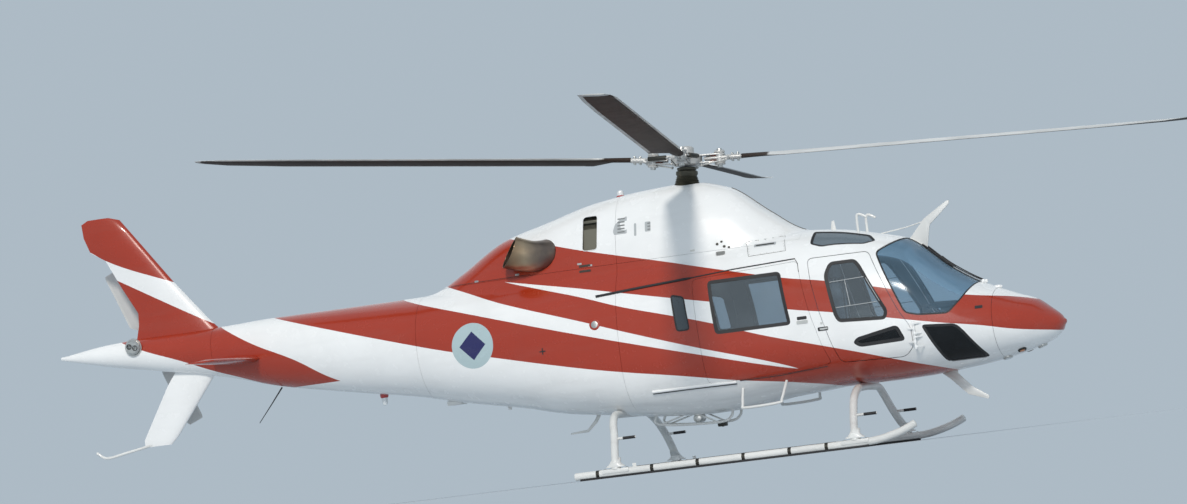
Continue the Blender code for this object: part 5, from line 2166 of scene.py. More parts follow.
def foil(rows: Sequence[Sequence[float]], place: Callable[[float, float, float], Point]) -> Form:
    """A wing through rows of span, leading edge, trailing edge and thickness.

    Args:
        rows: The rows in order.
        place: Turns span, chord and thickness into a point.

    Returns:
        The wing.
    """
    rings = [[place(row[0], chord, depth) for chord, depth in foil_section(*row[1:])] for row in rows]
    return Form().loft(rings)


def finer(rows: Sequence[Sequence[float]], steps: int) -> list[list[float]]:
    """Rows of numbers with even steps between them.

    Args:
        rows: The rows.
        steps: The steps from one to the next.

    Returns:
        The rows with those between them.
    """
    table = np.array(rows)
    shares = np.linspace(0, 1, steps, endpoint=False)[:, None]
    parts = [low + (high - low) * shares for low, high in zip(table, table[1:])]
    return [[float(v) for v in row] for row in np.vstack((*parts, table[-1:]))]


@dataclass
class Empennage:
    """The fins, the stabiliser and the tail skid.

    Attributes:
        upper_rows: Height, leading edge, trailing edge and thickness of the upper fin.
        lower_rows: The same of the lower fin.
        tail_rows: The same of one half of the stabiliser, by the distance out.
        tail_height: The stabiliser's height.
        skid_route: The tail skid's middle line.
    """

    upper_rows: tuple[tuple[float, ...], ...] = (
        (2.05, -5.46, -6.58, 0.13), (2.30, -5.69, -6.51, 0.12), (2.44, -5.80, -6.50, 0.11),
        (2.74, -6.04, -6.66, 0.10), (3.07, -6.28, -6.82, 0.09), (3.18, -6.36, -6.99, 0.085),
        (3.35, -6.485, -7.05, 0.08), (3.50, -6.595, -7.06, 0.075), (3.54, -6.72, -6.98, 0.05),
    )
    lower_rows: tuple[tuple[float, ...], ...] = (
        (1.85, -5.51, -6.05, 0.10), (1.60, -5.72, -6.25, 0.09), (1.03, -6.19, -6.60, 0.07),
        (0.95, -6.28, -6.60, 0.05),
    )
    tail_rows: tuple[tuple[float, ...], ...] = (
        (0.10, -5.00, -5.60, 0.075), (0.80, -5.07, -5.53, 0.06), (1.36, -5.12, -5.46, 0.045),
        (1.40, -5.17, -5.43, 0.02),
    )
    tail_height: float = 1.76
    skid_route: tuple[Point, ...] = (
        (-6.42, 0, 0.985), (-6.83, 0, 0.918), (-7.07, 0, 0.886), (-7.19, 0, 0.956),
    )

    def build(self) -> None:
        """Builds the tail surfaces."""
        upper = foil(self.upper_rows, lambda span, chord, thick: (chord, thick, span))
        upper.done("upper_fin_skin", FIN_PAINT, "red_paint", replaces=["upper_fin"])
        lower = foil(self.lower_rows, lambda span, chord, thick: (chord, thick, span))
        lower.done("lower_fin_skin", WHITE, "white_paint", replaces=["lower_fin"])
        skid = Form().sweep(smoothed(self.skid_route, 8), 0.016, 14)
        skid.done("tail_skid_bar", GEAR_PAINT, "white_paint", replaces=["tail_skid"])
        for side in Side:
            rows = [(side.value * row[0], *row[1:]) for row in self.tail_rows]
            wing = foil(rows, lambda span, chord, thick: (chord, span, self.tail_height + thick))
            wing.done(
                f"stabiliser_skin_{side.label}", RED, "red_paint", replaces=[f"stabiliser_{side.label}"]
            )


@dataclass
class MainRotor:
    """The mast, the head and the four blades, all leaning with the mast about the hub's middle.

    Attributes:
        radius: From the mast to the tips.
        height: The hub's height.
        lean_forward: How far the mast leans forward.
        lean_left: How far it leans to the left.
        rest: How far round the first blade stands.
        coning: How far the blades rise outwards.
        blades: How many there are.
        chord: A blade's width.
        root: Where the blades begin.
    """

    radius: float = 5.415
    height: float = 3.27
    lean_forward: float = math.radians(4.7)
    lean_left: float = math.radians(2.5)
    rest: float = math.radians(8)
    coning: float = math.radians(2.3)
    blades: int = 4
    chord: float = 0.335
    root: float = 0.60

    def build(self) -> None:
        """Builds the rotor."""
        self.mast()
        self.head()
        for index in range(self.blades):
            self.blade(index)

    @property
    def lean(self) -> Matrix:
        """Takes the upright rotor to where it leans. Height 0 is the hub's middle."""
        turn = Matrix.Rotation(self.lean_forward, 4, "Y") @ Matrix.Rotation(-self.lean_left, 4, "X")
        return Matrix.Translation((0, 0, self.height)) @ turn

    def arm_turn(self, index: int) -> Matrix:
        """How far round one arm points."""
        return Matrix.Rotation(self.rest + index * math.tau / self.blades, 4, "Z")

    def arm_place(self, index: int) -> Matrix:
        """Where one arm's own frame lies before the rotor leans."""
        return self.arm_turn(index) @ Matrix.Rotation(-self.coning, 4, "Y")

    def mast(self) -> None:
        """The shaft, the swashplate and its boot."""
        shaft = Form().rod((0, 0, -0.515), (0, 0, -0.07), 0.052, sides=28)
        shaft.lathe(((0, -0.105), (0.10, -0.105), (0.105, -0.098), (0.105, -0.08), (0.075, -0.07),
                     (0, -0.07)), (0, 0, 0))
        shaft.placed(self.lean)
        shaft.done("mast_shaft", MAST_METAL, "dark_metal", "main_rotor", ["mast"])
        boot = [(0.150, -0.505)]
        for index in range(7):
            level = -0.29 + index * 0.018
            boot += [(0.148 - index * 0.005, level), (0.136 - index * 0.005, level + 0.009)]
        boot += [(0.112, -0.16), (0.118, -0.15), (0.118, -0.122), (0.108, -0.113), (0.062, -0.113),
                 (0.062, -0.505), boot[0]]
        Form().lathe(boot, (0, 0, 0), sides=48).placed(self.lean).done(
            "mast_boot", MAST_METAL, "dark_metal", replaces=["mast_housing"])

    def head(self) -> None:
        """The hub with its arms, bearings, dampers and pitch links."""
        head = Form()
        head.lathe(((0, -0.06), (0.13, -0.06), (0.165, -0.045), (0.17, 0.0), (0.165, 0.055),
                    (0.12, 0.075), (0.085, 0.08), (0.08, 0.135), (0.06, 0.15), (0, 0.15)),
                   (0, 0, 0), sides=48)
        for index in range(self.blades):
            arm = Form()
            fork = rounded([(0.10, -0.07), (0.36, -0.055), (0.42, -0.03), (0.42, 0.03), (0.36, 0.055),
                            (0.10, 0.07)], 0.02)
            for level in (-0.047, 0.033):
                arm.prism(fork, level, level + 0.014, "Z", 0.003)
            arm.rod((0.36, 0, -0.10), (0.36, 0, 0.10), 0.030, sides=24, bevel=0.004, tint=2)
            for level in (-0.030, 0.022):
                arm.rod((0.30, 0, level), (0.30, 0, level + 0.010), 0.048, sides=28, bevel=0.002, tint=3)
            for turn in (0.0, 1.05, 2.09, 3.14, 4.19, 5.24):
                spot = Vector((0.36 + 0.042 * math.cos(turn), 0.042 * math.sin(turn), 0.072))
                arm.rod(spot, spot + Vector((0, 0, 0.012)), 0.0065, sides=6, tint=2)
            arm.lathe(((0, -0.075), (0.055, -0.075), (0.062, -0.06), (0.050, -0.05), (0.050, 0.05),
                       (0.062, 0.06), (0.055, 0.075), (0, 0.075)), (0.36, 0, 0), sides=24)
            arm.sweep(((0.20, 0, 0), (0.30, 0, 0), (0.42, 0, 0), (0.52, 0, 0), (self.root - 0.002, 0, 0)),
                      (0.040, 0.048, 0.050, 0.055, 0.050), 20, (0.55, 1.05))
            for x in (0.50, 0.56):
                for y in (-0.03, 0.03):
                    arm.rod((x, y, -0.045), (x, y, 0.045), 0.011, sides=12, bevel=0.002, tint=2)
            arm.rod((0.20, 0.145, 0.02), (0.40, 0.085, 0.01), 0.026, sides=18, bevel=0.004, tint=1)
            arm.rod((0.17, 0.155, 0.02), (0.44, 0.072, 0.01), 0.010, sides=12, tint=0)
            horn = ((0.44, 0.06, 0.0), (0.46, -0.05, -0.01), (0.44, -0.11, -0.02))
            arm.sweep(horn, (0.022, 0.020, 0.016), 12)
            head.add(arm, self.arm_place(index))
            arm.mesh.free()
            high = self.arm_place(index) @ Vector((0.44, -0.11, -0.03))
            low = self.arm_turn(index) @ Vector((0.17, -0.09, -0.065))
            head.rod(low, high, 0.009, sides=12, tint=2)
            for end in (low, high):
                head.ball(end, (0.016, 0.016, 0.016))
        head.placed(self.lean)
        head.done(
            "rotor_head_metal", (GRIP_METAL, DARK_METAL, STEEL, BROWN), "bare_metal", "main_rotor",
            ["rotor_head"],
        )

    def twist(self, span: float) -> float:
        """How far the blade's leading edge is turned up at a distance from the mast."""
        share = (span - self.root) / (self.radius - self.root)
        return math.radians(9.5 - 2.0 * share) * min(1.0, (1 - share) / 0.1)

    def twisted(self, span: float, chord: float, thick: float) -> Point:
        """A blade's point, turned about its quarter line by the twist there.

        Args:
            span: The distance from the mast.
            chord: The place across the blade.
            thick: The place through its thickness.

        Returns:
            The point.
        """
        turn = self.twist(span)
        across = -chord * math.cos(turn) - thick * math.sin(turn)
        return (span, across, thick * math.cos(turn) - chord * math.sin(turn))

    def blade(self, index: int) -> None:
        """One blade with its cuff, in its own frame first.

        Args:
            index: Which blade.
        """
        quarter, trail = -self.chord / 4, self.chord * 3 / 4
        rows = finer((
            (self.root + 0.0004, -0.06, 0.06, 0.05), (0.80, -0.06, 0.07, 0.045),
            (1.05, quarter, trail, 0.038), (5.10, quarter, trail, 0.030),
            (self.radius - 0.06, quarter + 0.03, trail, 0.020), (self.radius, -0.02, trail, 0.012),
        ), 6)
        form = foil(rows, self.twisted)
        form.mark("chord", lambda co: (-co.y - quarter) / self.chord)
        form.mark("span", lambda co: co.x / self.radius)
        form.mark("upper", lambda co: float(co.z > co.y * math.tan(self.twist(co.x))))
        form.placed(self.lean @ self.arm_place(index))
        form.done(
            f"rotor_blade_skin_{index + 1}", BLADE_SKIN, "blade_skin", "main_rotor",
            [f"rotor_blade_{index + 1}"], smooth=60,
        )


@dataclass
class TailRotor:
    """The tail rotor's gearbox, hub and two blades, on the left side.

    Attributes:
        middle: The hub's middle.
        rest: How far round the first blade stands.
        radius: From the shaft to the tips.
    """

    middle: Point = (-6.54, 0.42, 2.065)
    rest: float = math.radians(68.5)
    radius: float = 0.97

    def build(self) -> None:
        """Builds the tail rotor."""
        x, _, z = self.middle
        box = Form().lathe(((0, -0.20), (0.06, -0.20), (0.082, -0.18), (0.085, -0.05), (0.085, 0.20),
                            (0.070, 0.235), (0.052, 0.245), (0.050, 0.312), (0, 0.312)),
                           (x, 0.0, z), (0, 1, 0), 36)
        for a in around(8):
            spot = Vector((x + 0.065 * math.cos(a), -0.185, z + 0.065 * math.sin(a)))
            box.rod(spot, spot + Vector((0, -0.012, 0)), 0.008, sides=6)
        # Painted shade: two shallow near-black cups stand for the dark depth of the case's two round
        # openings.
        for way in (-1, 1):
            spot = Vector((x + way * 0.033, -0.196, z - way * 0.010))
            box.lathe(((0, 0), (0.025, 0), (0.030, 0.002), (0.030, 0.009), (0.024, 0.009), (0.022, 0.004),
                       (0, 0.004)), spot, (0, -1, 0), 24, 1)
        box.lathe(((0.086, 0.0), (0.098, 0.0), (0.100, 0.004), (0.098, 0.012), (0.086, 0.012),
                   (0.086, 0.0)), (x, -0.152, z), (0, -1, 0), 40)
        box.done("tail_gearbox_case", (STEEL, SOOT_AND_SHADE), "bare_metal", replaces=["tail_rotor_gearbox"])
        place = Matrix.Translation(self.middle) @ Matrix.Rotation(self.rest, 4, "Y")
        hub = Form().rod((0, -0.104, 0), (0, 0.085, 0), 0.027, sides=24, bevel=0.003)
        hub.box((-0.138, -0.028, -0.033), (0.138, 0.028, 0.033), 0.010)
        hub.rod((0, 0.03, 0), (0, 0.080, 0), 0.044, 0.036, 28, 0.005)
        for way in (-1, 1):
            hub.rod((way * 0.10, -0.035, 0), (way * 0.10, 0.035, 0), 0.013, sides=14, bevel=0.002)
            hub.rod((way * 0.05, -0.07, way * 0.05), (way * 0.13, 0.0, way * 0.055), 0.006, sides=10)
        hub.lathe(((0, -0.085), (0.058, -0.085), (0.062, -0.078), (0.058, -0.070), (0, -0.070)),
                  (0, 0, 0), (0, 1, 0), 28)
        hub.placed(place)
        hub.done(
            "tail_rotor_hub_metal", (STEEL, DARK_METAL), "bare_metal", "tail_rotor", ["tail_rotor_hub"]
        )
        rows = finer(((0.1404, -0.03, 0.03, 0.03), (0.22, -0.03, 0.04, 0.03), (0.32, -0.05, 0.15, 0.024),
                      (self.radius - 0.03, -0.05, 0.15, 0.016), (self.radius, -0.03, 0.14, 0.010)), 4)
        for index in range(2):
            form = foil(rows, lambda span, chord, thick: (span, thick, chord))
            form.mark("chord", lambda co: (co.z + 0.05) / 0.20)
            form.mark("upper", lambda co: 0.0)
            form.mark("span", lambda co: co.x / self.radius)
            form.placed(place @ Matrix.Rotation(index * math.pi, 4, "Y"))
            form.done(
                f"tail_blade_skin_{index + 1}", TAIL_BLADE_SKIN, "tail_blade_skin", "tail_rotor",
                [f"tail_rotor_blade_{index + 1}"], smooth=60,
            )


@dataclass
class LandingGear:
    """Cross tubes, skids and boarding steps.

    Attributes:
        skid_y: How far out the skids lie.
        skid_z: The height of their middle line.
        skid_radius: Their radius.
        tube_radius: The cross tubes' radius.
        foot_top: The height of the saddles that the legs stand on.
        front_foot: The station of the front legs' feet.
        rear_foot: The same of the rear legs.
        boot: Rings of the casting round a foot: height, half length, half width, lean inwards.
        front_leg: Distance out, height and lean aft along a front leg.
        rear_leg: The same along a rear leg.
    """

    skid_y: float = 1.125
    skid_z: float = 0.052
    skid_radius: float = 0.040
    tube_radius: float = 0.042
    foot_top: float = 0.105
    front_foot: float = 1.76
    rear_foot: float = -0.85
    boot: tuple[tuple[float, ...], ...] = (
        (0.1060, 0.104, 0.051, 0.0), (0.118, 0.102, 0.050, 0.0), (0.130, 0.078, 0.049, 0.0),
        (0.155, 0.056, 0.047, 0.004), (0.190, 0.048, 0.046, 0.050), (0.205, 0.044, 0.0435, 0.072),
    )
    front_leg: tuple[Point, ...] = (
        (1.125, 0.1054, 0.0), (1.125, 0.15, 0.0), (1.00, 0.24, 0.03), (0.83, 0.38, 0.06),
        (0.66, 0.52, 0.08), (0.47, 0.61, 0.08), (0.25, 0.632, 0.08),
    )
    rear_leg: tuple[Point, ...] = (
        (1.125, 0.1054, 0.0), (1.125, 0.15, 0.0), (1.05, 0.27, 0.015), (0.92, 0.43, 0.04),
        (0.79, 0.56, 0.075), (0.62, 0.645, 0.10), (0.40, 0.66, 0.10),
    )

    def build(self) -> None:
        """Builds the landing gear."""
        for name, foot, leg, peg in (
            ("front", self.front_foot, self.front_leg, (0.34, 0.88)),
            ("rear", self.rear_foot, self.rear_leg, (0.40, 0.94)),
        ):
            self.cross_tube(name, foot, leg, peg)
        for side in Side:
            self.skid(side)
            self.step(side)

    def cross_tube(
        self, name: str, foot: float, leg: tuple[Point, ...], peg: tuple[float, float]
    ) -> None:
        """One arch from skid to skid, with its foot pegs.

        Args:
            name: Front or rear.
            foot: The station of its feet.
            leg: Its left half: distance out, height and how far it leans aft.
            peg: The pegs' height and distance out.
        """
        left = [(foot - lean, y, z) for y, z, lean in leg]
        right = [(x, -y, z) for x, y, z in reversed(left)]
        chain = [Vector(left[0]), *smoothed(left[1:] + right[:-1], 7), Vector(right[-1])]
        form = Form().sweep(chain, self.tube_radius, 24)
        for side in Side:
            y = side.value * peg[1]
            ends = [(foot + x, y, peg[0]) for x in (-0.06, 0.20)]
            form.rod(*ends, 0.015, sides=16, bevel=0.004)
            form.rod((foot + 0.06, y, peg[0]), (foot + 0.195, y, peg[0]), 0.016, sides=16, tint=1)
            form.loft([self.boot_ring(foot, side.value * (self.skid_y - lean), z, long, wide)
                       for z, long, wide, lean in self.boot])
            for x in (foot - 0.075, foot + 0.075):
                ends = [(x, side.value * self.skid_y, z) for z in (0.112, 0.126)]
                form.rod(*ends, 0.011, sides=6, bevel=0.002, tint=2)
        form.done(
            f"{name}_cross_tube_paint", (GEAR_PAINT, RUBBER, STEEL), "gear_paint",
            replaces=[f"{name}_cross_tube"],
        )

    @staticmethod
    def boot_ring(x: float, y: float, z: float, long: float, wide: float) -> list[Point]:
        """A ring of the casting round a leg's foot, between an ellipse and a box.

        Args:
            x: Its middle station.
            y: Its middle across.
            z: Its height.
            long: Half its length.
            wide: Half its width.

        Returns:
            Its points.
        """
        turns = [(math.cos(a), math.sin(a)) for a in around(28)]
        return [(x + long * math.copysign(abs(c) ** 0.7, c), y + wide * math.copysign(abs(s) ** 0.7, s), z)
                for c, s in turns]

    def skid(self, side: Side) -> None:
        """One skid tube with its shoe, saddles, bands and end caps.

        Args:
            side: Which side.
        """
        y = side.value * self.skid_y
        bend = ((1.85, self.skid_z), (2.02, 0.065), (2.20, 0.105), (2.32, 0.145), (2.42, 0.19))
        line = [Vector((x, y, self.skid_z)) for x in (-1.297, -0.6, 0.2, 1.0)]
        line += smoothed([(x, y, z) for x, z in bend], 5)
        line[-1] += (line[-2] - line[-1]).normalized() * 0.018
        form = Form().sweep(line, self.skid_radius, 24)
        form.ball(line[0], (0.0195, 0.0398, 0.0398))
        ahead = (line[-1] - line[-2]).to_track_quat("X", "Z").to_matrix().to_4x4()
        form.ball((0, 0, 0), (0.0185, 0.0398, 0.0398), place=Matrix.Translation(line[-1]) @ ahead)
        form.box((-1.25, y - 0.028, 0.0), (1.90, y + 0.028, 0.030), 0.004, 1)
        form.box((-0.62, y - 0.010, 0.088), (1.55, y + 0.010, 0.0945), 0.002, 1)
        form.box((-0.665, y - 0.004, 0.080), (-0.625, y + 0.004, 0.128), 0.002)
        for foot in (self.front_foot, self.rear_foot):
            form.box((foot - 0.15, y - 0.05, 0.045), (foot + 0.15, y + 0.05, 0.092), 0.012)
            form.rod((foot, y, 0.085), (foot, y, self.foot_top), 0.058, 0.054, 28, 0.003)
            for x in (-0.12, 0.12):
                form.rod((foot + x, y, 0.085), (foot + x, y, 0.100), 0.012, sides=6, tint=2)
        for x in (-1.05, -0.45, 0.05, 0.55, 1.05, 1.45):
            form.lathe(((0, -0.018), (0.0414, -0.018), (0.0414, 0.018), (0, 0.018)),
                       (x, y, self.skid_z), (1, 0, 0), 28, 3)
            form.rod((x + 0.03, y, 0.088), (x + 0.03, y, 0.096), 0.007, sides=6, tint=2)
        form.done(
            f"skid_tube_{side.label}", (GEAR_PAINT, RUBBER, STEEL, DARK_METAL), "gear_paint",
            replaces=[f"skid_{side.label}"],
        )

    def step(self, side: Side) -> None:
        """The boarding step under one cabin door.

        Args:
            side: Which side.
        """
        route = [(x, side.value * y, z) for x, y, z in (
            (0.50, 0.64, 0.80), (0.51, 0.78, 0.60), (0.54, 0.80, 0.56), (0.90, 0.80, 0.57),
            (0.94, 0.78, 0.61), (0.98, 0.64, 0.80))]
        form = Form().sweep(smoothed(route, 6), 0.015, 14)
        form.done(
            f"boarding_step_bar_{side.label}", GEAR_PAINT, "gear_paint",
            replaces=[f"boarding_step_{side.label}"],
        )


@dataclass
class Fittings:
    """Wire cutters, probes, aerials, lamps, rails and the hook frame."""

    def build(self) -> None:
        """Builds the fittings."""
        self.wire_cutters()
        self.probes()
        self.lamps()
        self.hook_frame()
        for side in Side:
            self.flank(side)

    def wire_cutters(self) -> None:
        """The cutter on the roof and the one under the nose."""
        upper, lower = (
            Form().prism(rounded(outline, 0.012, 3), -0.0115, 0.0115, bevel=0.004) for outline in (
                ((2.28, 2.07), (2.50, 1.97), (2.56, 2.24), (2.79, 2.43), (2.80, 2.475),
                 (2.76, 2.465), (2.50, 2.31), (2.40, 2.20)),
                ((2.42, 0.74), (2.70, 0.74), (2.66, 0.66), (2.80, 0.50), (2.97, 0.38),
                 (2.96, 0.345), (2.75, 0.42), (2.58, 0.60)),
            )
        )
        upper.sweep(((2.53, 0, 2.29), (2.30, 0, 2.245), (2.02, 0, 2.215)), 0.007, 10)
        upper.done("upper_cutter_blade", GEAR_PAINT, "white_paint", replaces=["upper_wire_cutter"])
        lower.done("lower_cutter_blade", GEAR_PAINT, "white_paint", replaces=["lower_wire_cutter"])

    def probes(self) -> None:
        """Pitot tubes, aerials and the whip."""
        form = Form()
        for y in (-0.2, 0.2):
            form.sweep(smoothed(((1.831, y, 2.25), (1.831, y, 2.40), (1.845, y, 2.44), (1.88, y, 2.435),
                                 (1.937, y, 2.402)), 4), 0.014, 12, (1, 0.7))
        for x, long, sweep, levels in (
            (1.515, 0.03, 0.01, ((2.30, 1.0), (2.36, 0.8), (2.419, 0.45))),
            (-2.31, 0.035, 0.0, ((0.93, 1.0), (0.86, 0.5))),
        ):
            form.loft([[(x + long * math.cos(a) * s + (1 - s) * sweep, 0.006 * math.sin(a) * s, z)
                        for a in around(12)] for z, s in levels])
        whip = ((-4.906, 0.0, 1.42), (-5.06, 0.0, 1.24), (-5.217, 0.0, 1.062))
        form.sweep(whip, (0.009, 0.006, 0.004), 8, tint=1)
        form.sweep(((-1.30, 0.0, 0.71), (-1.36, 0.0, 0.62), (-1.46, 0.0, 0.53), (-1.66, 0.0, 0.52)),
                   (0.022, 0.020, 0.016, 0.008), 12, (1, 0.35))
        form.box((-2.99, -0.10, 0.985), (-2.82, 0.10, 1.035), 0.012)
        form.done("probes_and_aerials", (GEAR_PAINT, RUBBER), "white_paint")

    def lamps(self) -> None:
        """Beacons, the nose lamps and the tail light."""
        form = Form()
        top = HULL.at_top(-0.778, 0.0)
        belly = HULL.at_top(-3.731, 0.0, under=True)
        down = (0, 0, -1)
        form.lathe(((0, 0), (0.048, 0), (0.050, 0.010), (0.040, 0.018), (0, 0.018)),
                   top - Vector((0, 0, 0.006)), tint=1)
        form.lathe(((0, 0), (0.036, 0), (0.036, 0.03), (0.026, 0.052), (0, 0.062)),
                   top + Vector((0, 0, 0.010)))
        form.lathe(((0, 0), (0.046, 0), (0.048, 0.03), (0.040, 0.05), (0, 0.05)),
                   belly + Vector((0, 0, 0.012)), down, tint=1)
        form.lathe(((0, 0), (0.034, 0), (0.034, 0.05), (0.022, 0.085), (0, 0.092)),
                   belly - Vector((0, 0, 0.03)), down)
        small = ((-0.010, 0.014, 0.050, 0.044, 28, 0.005, 3), (0.006, 0.018, 0.032, 0.028, 24, 0.003, 4))
        large = ((-0.010, 0.018, 0.055, 0.050, 28, 0.006, 2), (0.008, 0.022, 0.044, 0.040, 28, 0.004, 0))
        spots = ((3.42, -0.2, small), (3.42, 0.2, small), (3.60, 0.0, large), (3.24, -0.10, large))
        for x, y, rods in spots:
            spot = HULL.at_top(x, y, under=True)
            way = HULL.direction(spot)
            for foot, tip, *rest in rods:
                form.rod(spot + way * foot, spot + way * tip, *rest)
        form.done("lamps", (LAMP, RED_LAMP, STEEL, DARK_METAL, AMBER), "clear_pane")

    def hook_frame(self) -> None:
        """The swinging frame under the belly with its hook."""
        form = Form()
        for y in (-0.17, 0.17):
            form.sweep(smoothed(((-0.62, y, 0.62), (-0.60, y, 0.50), (0.04, y, 0.45), (0.20, y, 0.50),
                                 (0.22, y, 0.61)), 5), 0.014, 12)
        for x, z in ((0.04, 0.45), (-0.58, 0.499)):
            form.rod((x, -0.17, z), (x, 0.17, z), 0.014)
        for y in (-0.17, 0.17):
            form.rod((-0.58, y, 0.50), (-0.22, y, 0.595), 0.009, sides=12)
            form.rod((-0.22, y, 0.595), (0.04, y, 0.452), 0.009, sides=12)
        form.box((0.0, -0.05, 0.402), (0.09, 0.05, 0.47), 0.010, 1)
        form.ring([(0.045 + 0.03 * math.cos(a), 0.0, 0.43 + 0.026 * math.sin(a)) for a in around(20)],
                  0.007, tint=1)
        form.rod((-0.20, -0.10, 0.52), (-0.20, 0.10, 0.52), 0.045, sides=24, bevel=0.006, tint=2)
        form.done(
            "hook_frame_bars", (GEAR_PAINT, DARK_METAL, STEEL), "gear_paint",
            replaces=["cargo_hook_frame"],
        )

    def flank(self, side: Side) -> None:
        """Door rails, handles, the fuel cap and small plates of one side.

        Args:
            side: Which side.
        """
        form = Form()
        rail = HULL.line(
            ((1.23, 2.045), (0.55, 2.02), (0.04, 1.985), (-0.50, 1.955), (-1.04, 1.92)), side, 0.001, 8
        )
        form.sweep(rail, [0.007 if spot.x > 0.04 else 0.015 for spot in rail], 10)
        for line, radius, out, tint in (
            (((1.23, 2.045), (1.262, 1.99), (1.272, 1.90)), 0.0035, 0.0, 0),
            (((-0.47, 0.846), (0.05, 0.846), (0.46, 0.842)), 0.016, 0.004, 3),
            (((-0.47, 0.824), (0.05, 0.824), (0.46, 0.820)), 0.005, 0.002, 0),
            (((0.50, 0.848), (0.95, 0.852), (1.46, 0.885)), 0.0045, 0.0, 0),
        ):
            Fuselage.bar(form, line, side, radius, out, tint)
        cap = HULL.at_side(-1.0, 1.63, side)
        way = HULL.direction(cap)
        form.rod(cap - way * 0.006, cap + way * 0.004, 0.062, 0.058, 36, 0.002, 1)
        form.rod(cap, cap + way * 0.007, 0.040, 0.038, 28, 0.002, 2)
        for x, z, wide, tall, tint, proud in (
            (1.272, 1.415, 0.105, 0.034, 0, 0.002), (1.272, 1.372, 0.120, 0.034, 2, 0.006),
            (3.10, 1.30, 0.075, 0.030, 0, 0.003), (-1.62, 1.42, 0.070, 0.012, 0, 0.003),
            (-1.62, 1.42, 0.012, 0.070, 0, 0.003),
        ):
            Cowlings.plate(form, x, z, wide, tall, side, tint, proud)
        form.done(f"flank_fittings_{side.label}", (RUBBER, RED, STEEL, WHITE), "dark_metal")
        grip = Form()
        for x, z, wide, tall, tint, proud in (
            (1.485, 1.275, 0.110, 0.040, 0, 0.003), (1.495, 1.275, 0.085, 0.018, 1, 0.010),
            (1.475, 1.335, 0.022, 0.022, 1, 0.004),
        ):
            Cowlings.plate(grip, x, z, wide, tall, side, tint, proud)
        grip.done(
            f"cockpit_door_handle_{side.label}", (RUBBER, STEEL), "dark_metal",
            f"{side.label}_cockpit_door",
        )


@dataclass(frozen=True)
class Pad:
    """A cushion: the space that it may fill, and how it is sewn.

    Attributes:
        low: One corner of its space.
        high: The opposite corner.
        face: The axis and the sign of the side that is sat on or leant against.
        seams: The axis and the places of the sewn channels across that side.
        voxel: How fine the cloth is.
        travel: How far the stuffing may push the cloth out.
    """

    low: Point
    high: Point
    face: tuple[int, int]
    seams: tuple[int, tuple[float, ...]]
    voxel: float = 0.010
    travel: float = 0.014

    def shape(self) -> Form:
        """The cushion's skin: a rounded block, blown up as cloth and then sewn.

        Returns:
            The skin.
        """
        slack = self.travel * 0.8
        low = [value + slack for value in self.low]
        high = [value - slack for value in self.high]
        block = Form().box(low, high, 0.030)
        return self._sewn(self._swollen(block))

    def _swollen(self, block: Form) -> tuple[bpy.types.Mesh, np.ndarray]:
        """Lets pressure push the cloth out, and returns its mesh with the points' new places.

        Args:
            block: The rounded block.

        Returns:
            The mesh and the new places.
        """
        scene = bpy.context.scene
        coarse = Form.loan(block.mesh)
        grid = coarse.modifiers.new("grid", "REMESH")
        grid.mode = "VOXEL"
        grid.voxel_size = self.voxel
        bpy.context.view_layer.update()
        graph = bpy.context.evaluated_depsgraph_get()
        mesh = bpy.data.meshes.new_from_object(coarse.evaluated_get(graph))
        bpy.data.meshes.remove(coarse.data)
        cover = bpy.data.objects.new("cover", mesh)
        scene.collection.objects.link(cover)
        cloth = cover.modifiers.new("cloth", "CLOTH")
        cloth.settings.quality = 4
        cloth.settings.use_pressure = True
        cloth.settings.uniform_pressure_force = 4
        cloth.settings.effector_weights.gravity = 0
        cloth.point_cache.frame_start = 1
        cloth.point_cache.frame_end = 20
        for frame in range(1, 21):
            scene.frame_set(frame)
        graph = bpy.context.evaluated_depsgraph_get()
        blown = cover.evaluated_get(graph).data
        places = [np.zeros(len(mesh.vertices) * 3) for _ in range(2)]
        for data, store in zip((mesh, blown), places):
            data.vertices.foreach_get("co", store)
        before, after = (store.reshape(-1, 3) for store in places)
        move = after - before
        far = np.linalg.norm(move, axis=1, keepdims=True)
        kept = mesh.copy()
        bpy.data.meshes.remove(mesh)
        scene.frame_set(1)
        return kept, before + move * np.minimum(1, self.travel / np.maximum(far, 1e-9))

    def _sewn(self, swollen: tuple[bpy.types.Mesh, np.ndarray]) -> Form:
        """Draws the sewn channels in, and keeps the cloth within its space.

        Args:
            swollen: The blown-up skin.

        Returns:
            The sewn skin.
        """
        mesh, points = swollen
        axis, sign = self.face
        across, places = self.seams
        middle = (self.low[axis] + self.high[axis]) / 2
        rise = (points[:, axis] - middle) * sign / (self.high[axis] - self.low[axis]) * 2
        on_face = np.clip(rise * 2.5 - 0.5, 0, 1)
        dip = sum(np.exp(-(((points[:, across] - place) / 0.008) ** 2)) for place in places)
        points[:, axis] -= sign * on_face * dip * 0.010
        points = np.clip(points, np.array(self.low) + 0.0004, np.array(self.high) - 0.0004)
        mesh.vertices.foreach_set("co", points.ravel())
        sewn = bmesh.new()
        sewn.from_mesh(mesh)
        bpy.data.meshes.remove(mesh)
        return Form(sewn)


UP = (2, 1)
AHEAD = (0, 1)


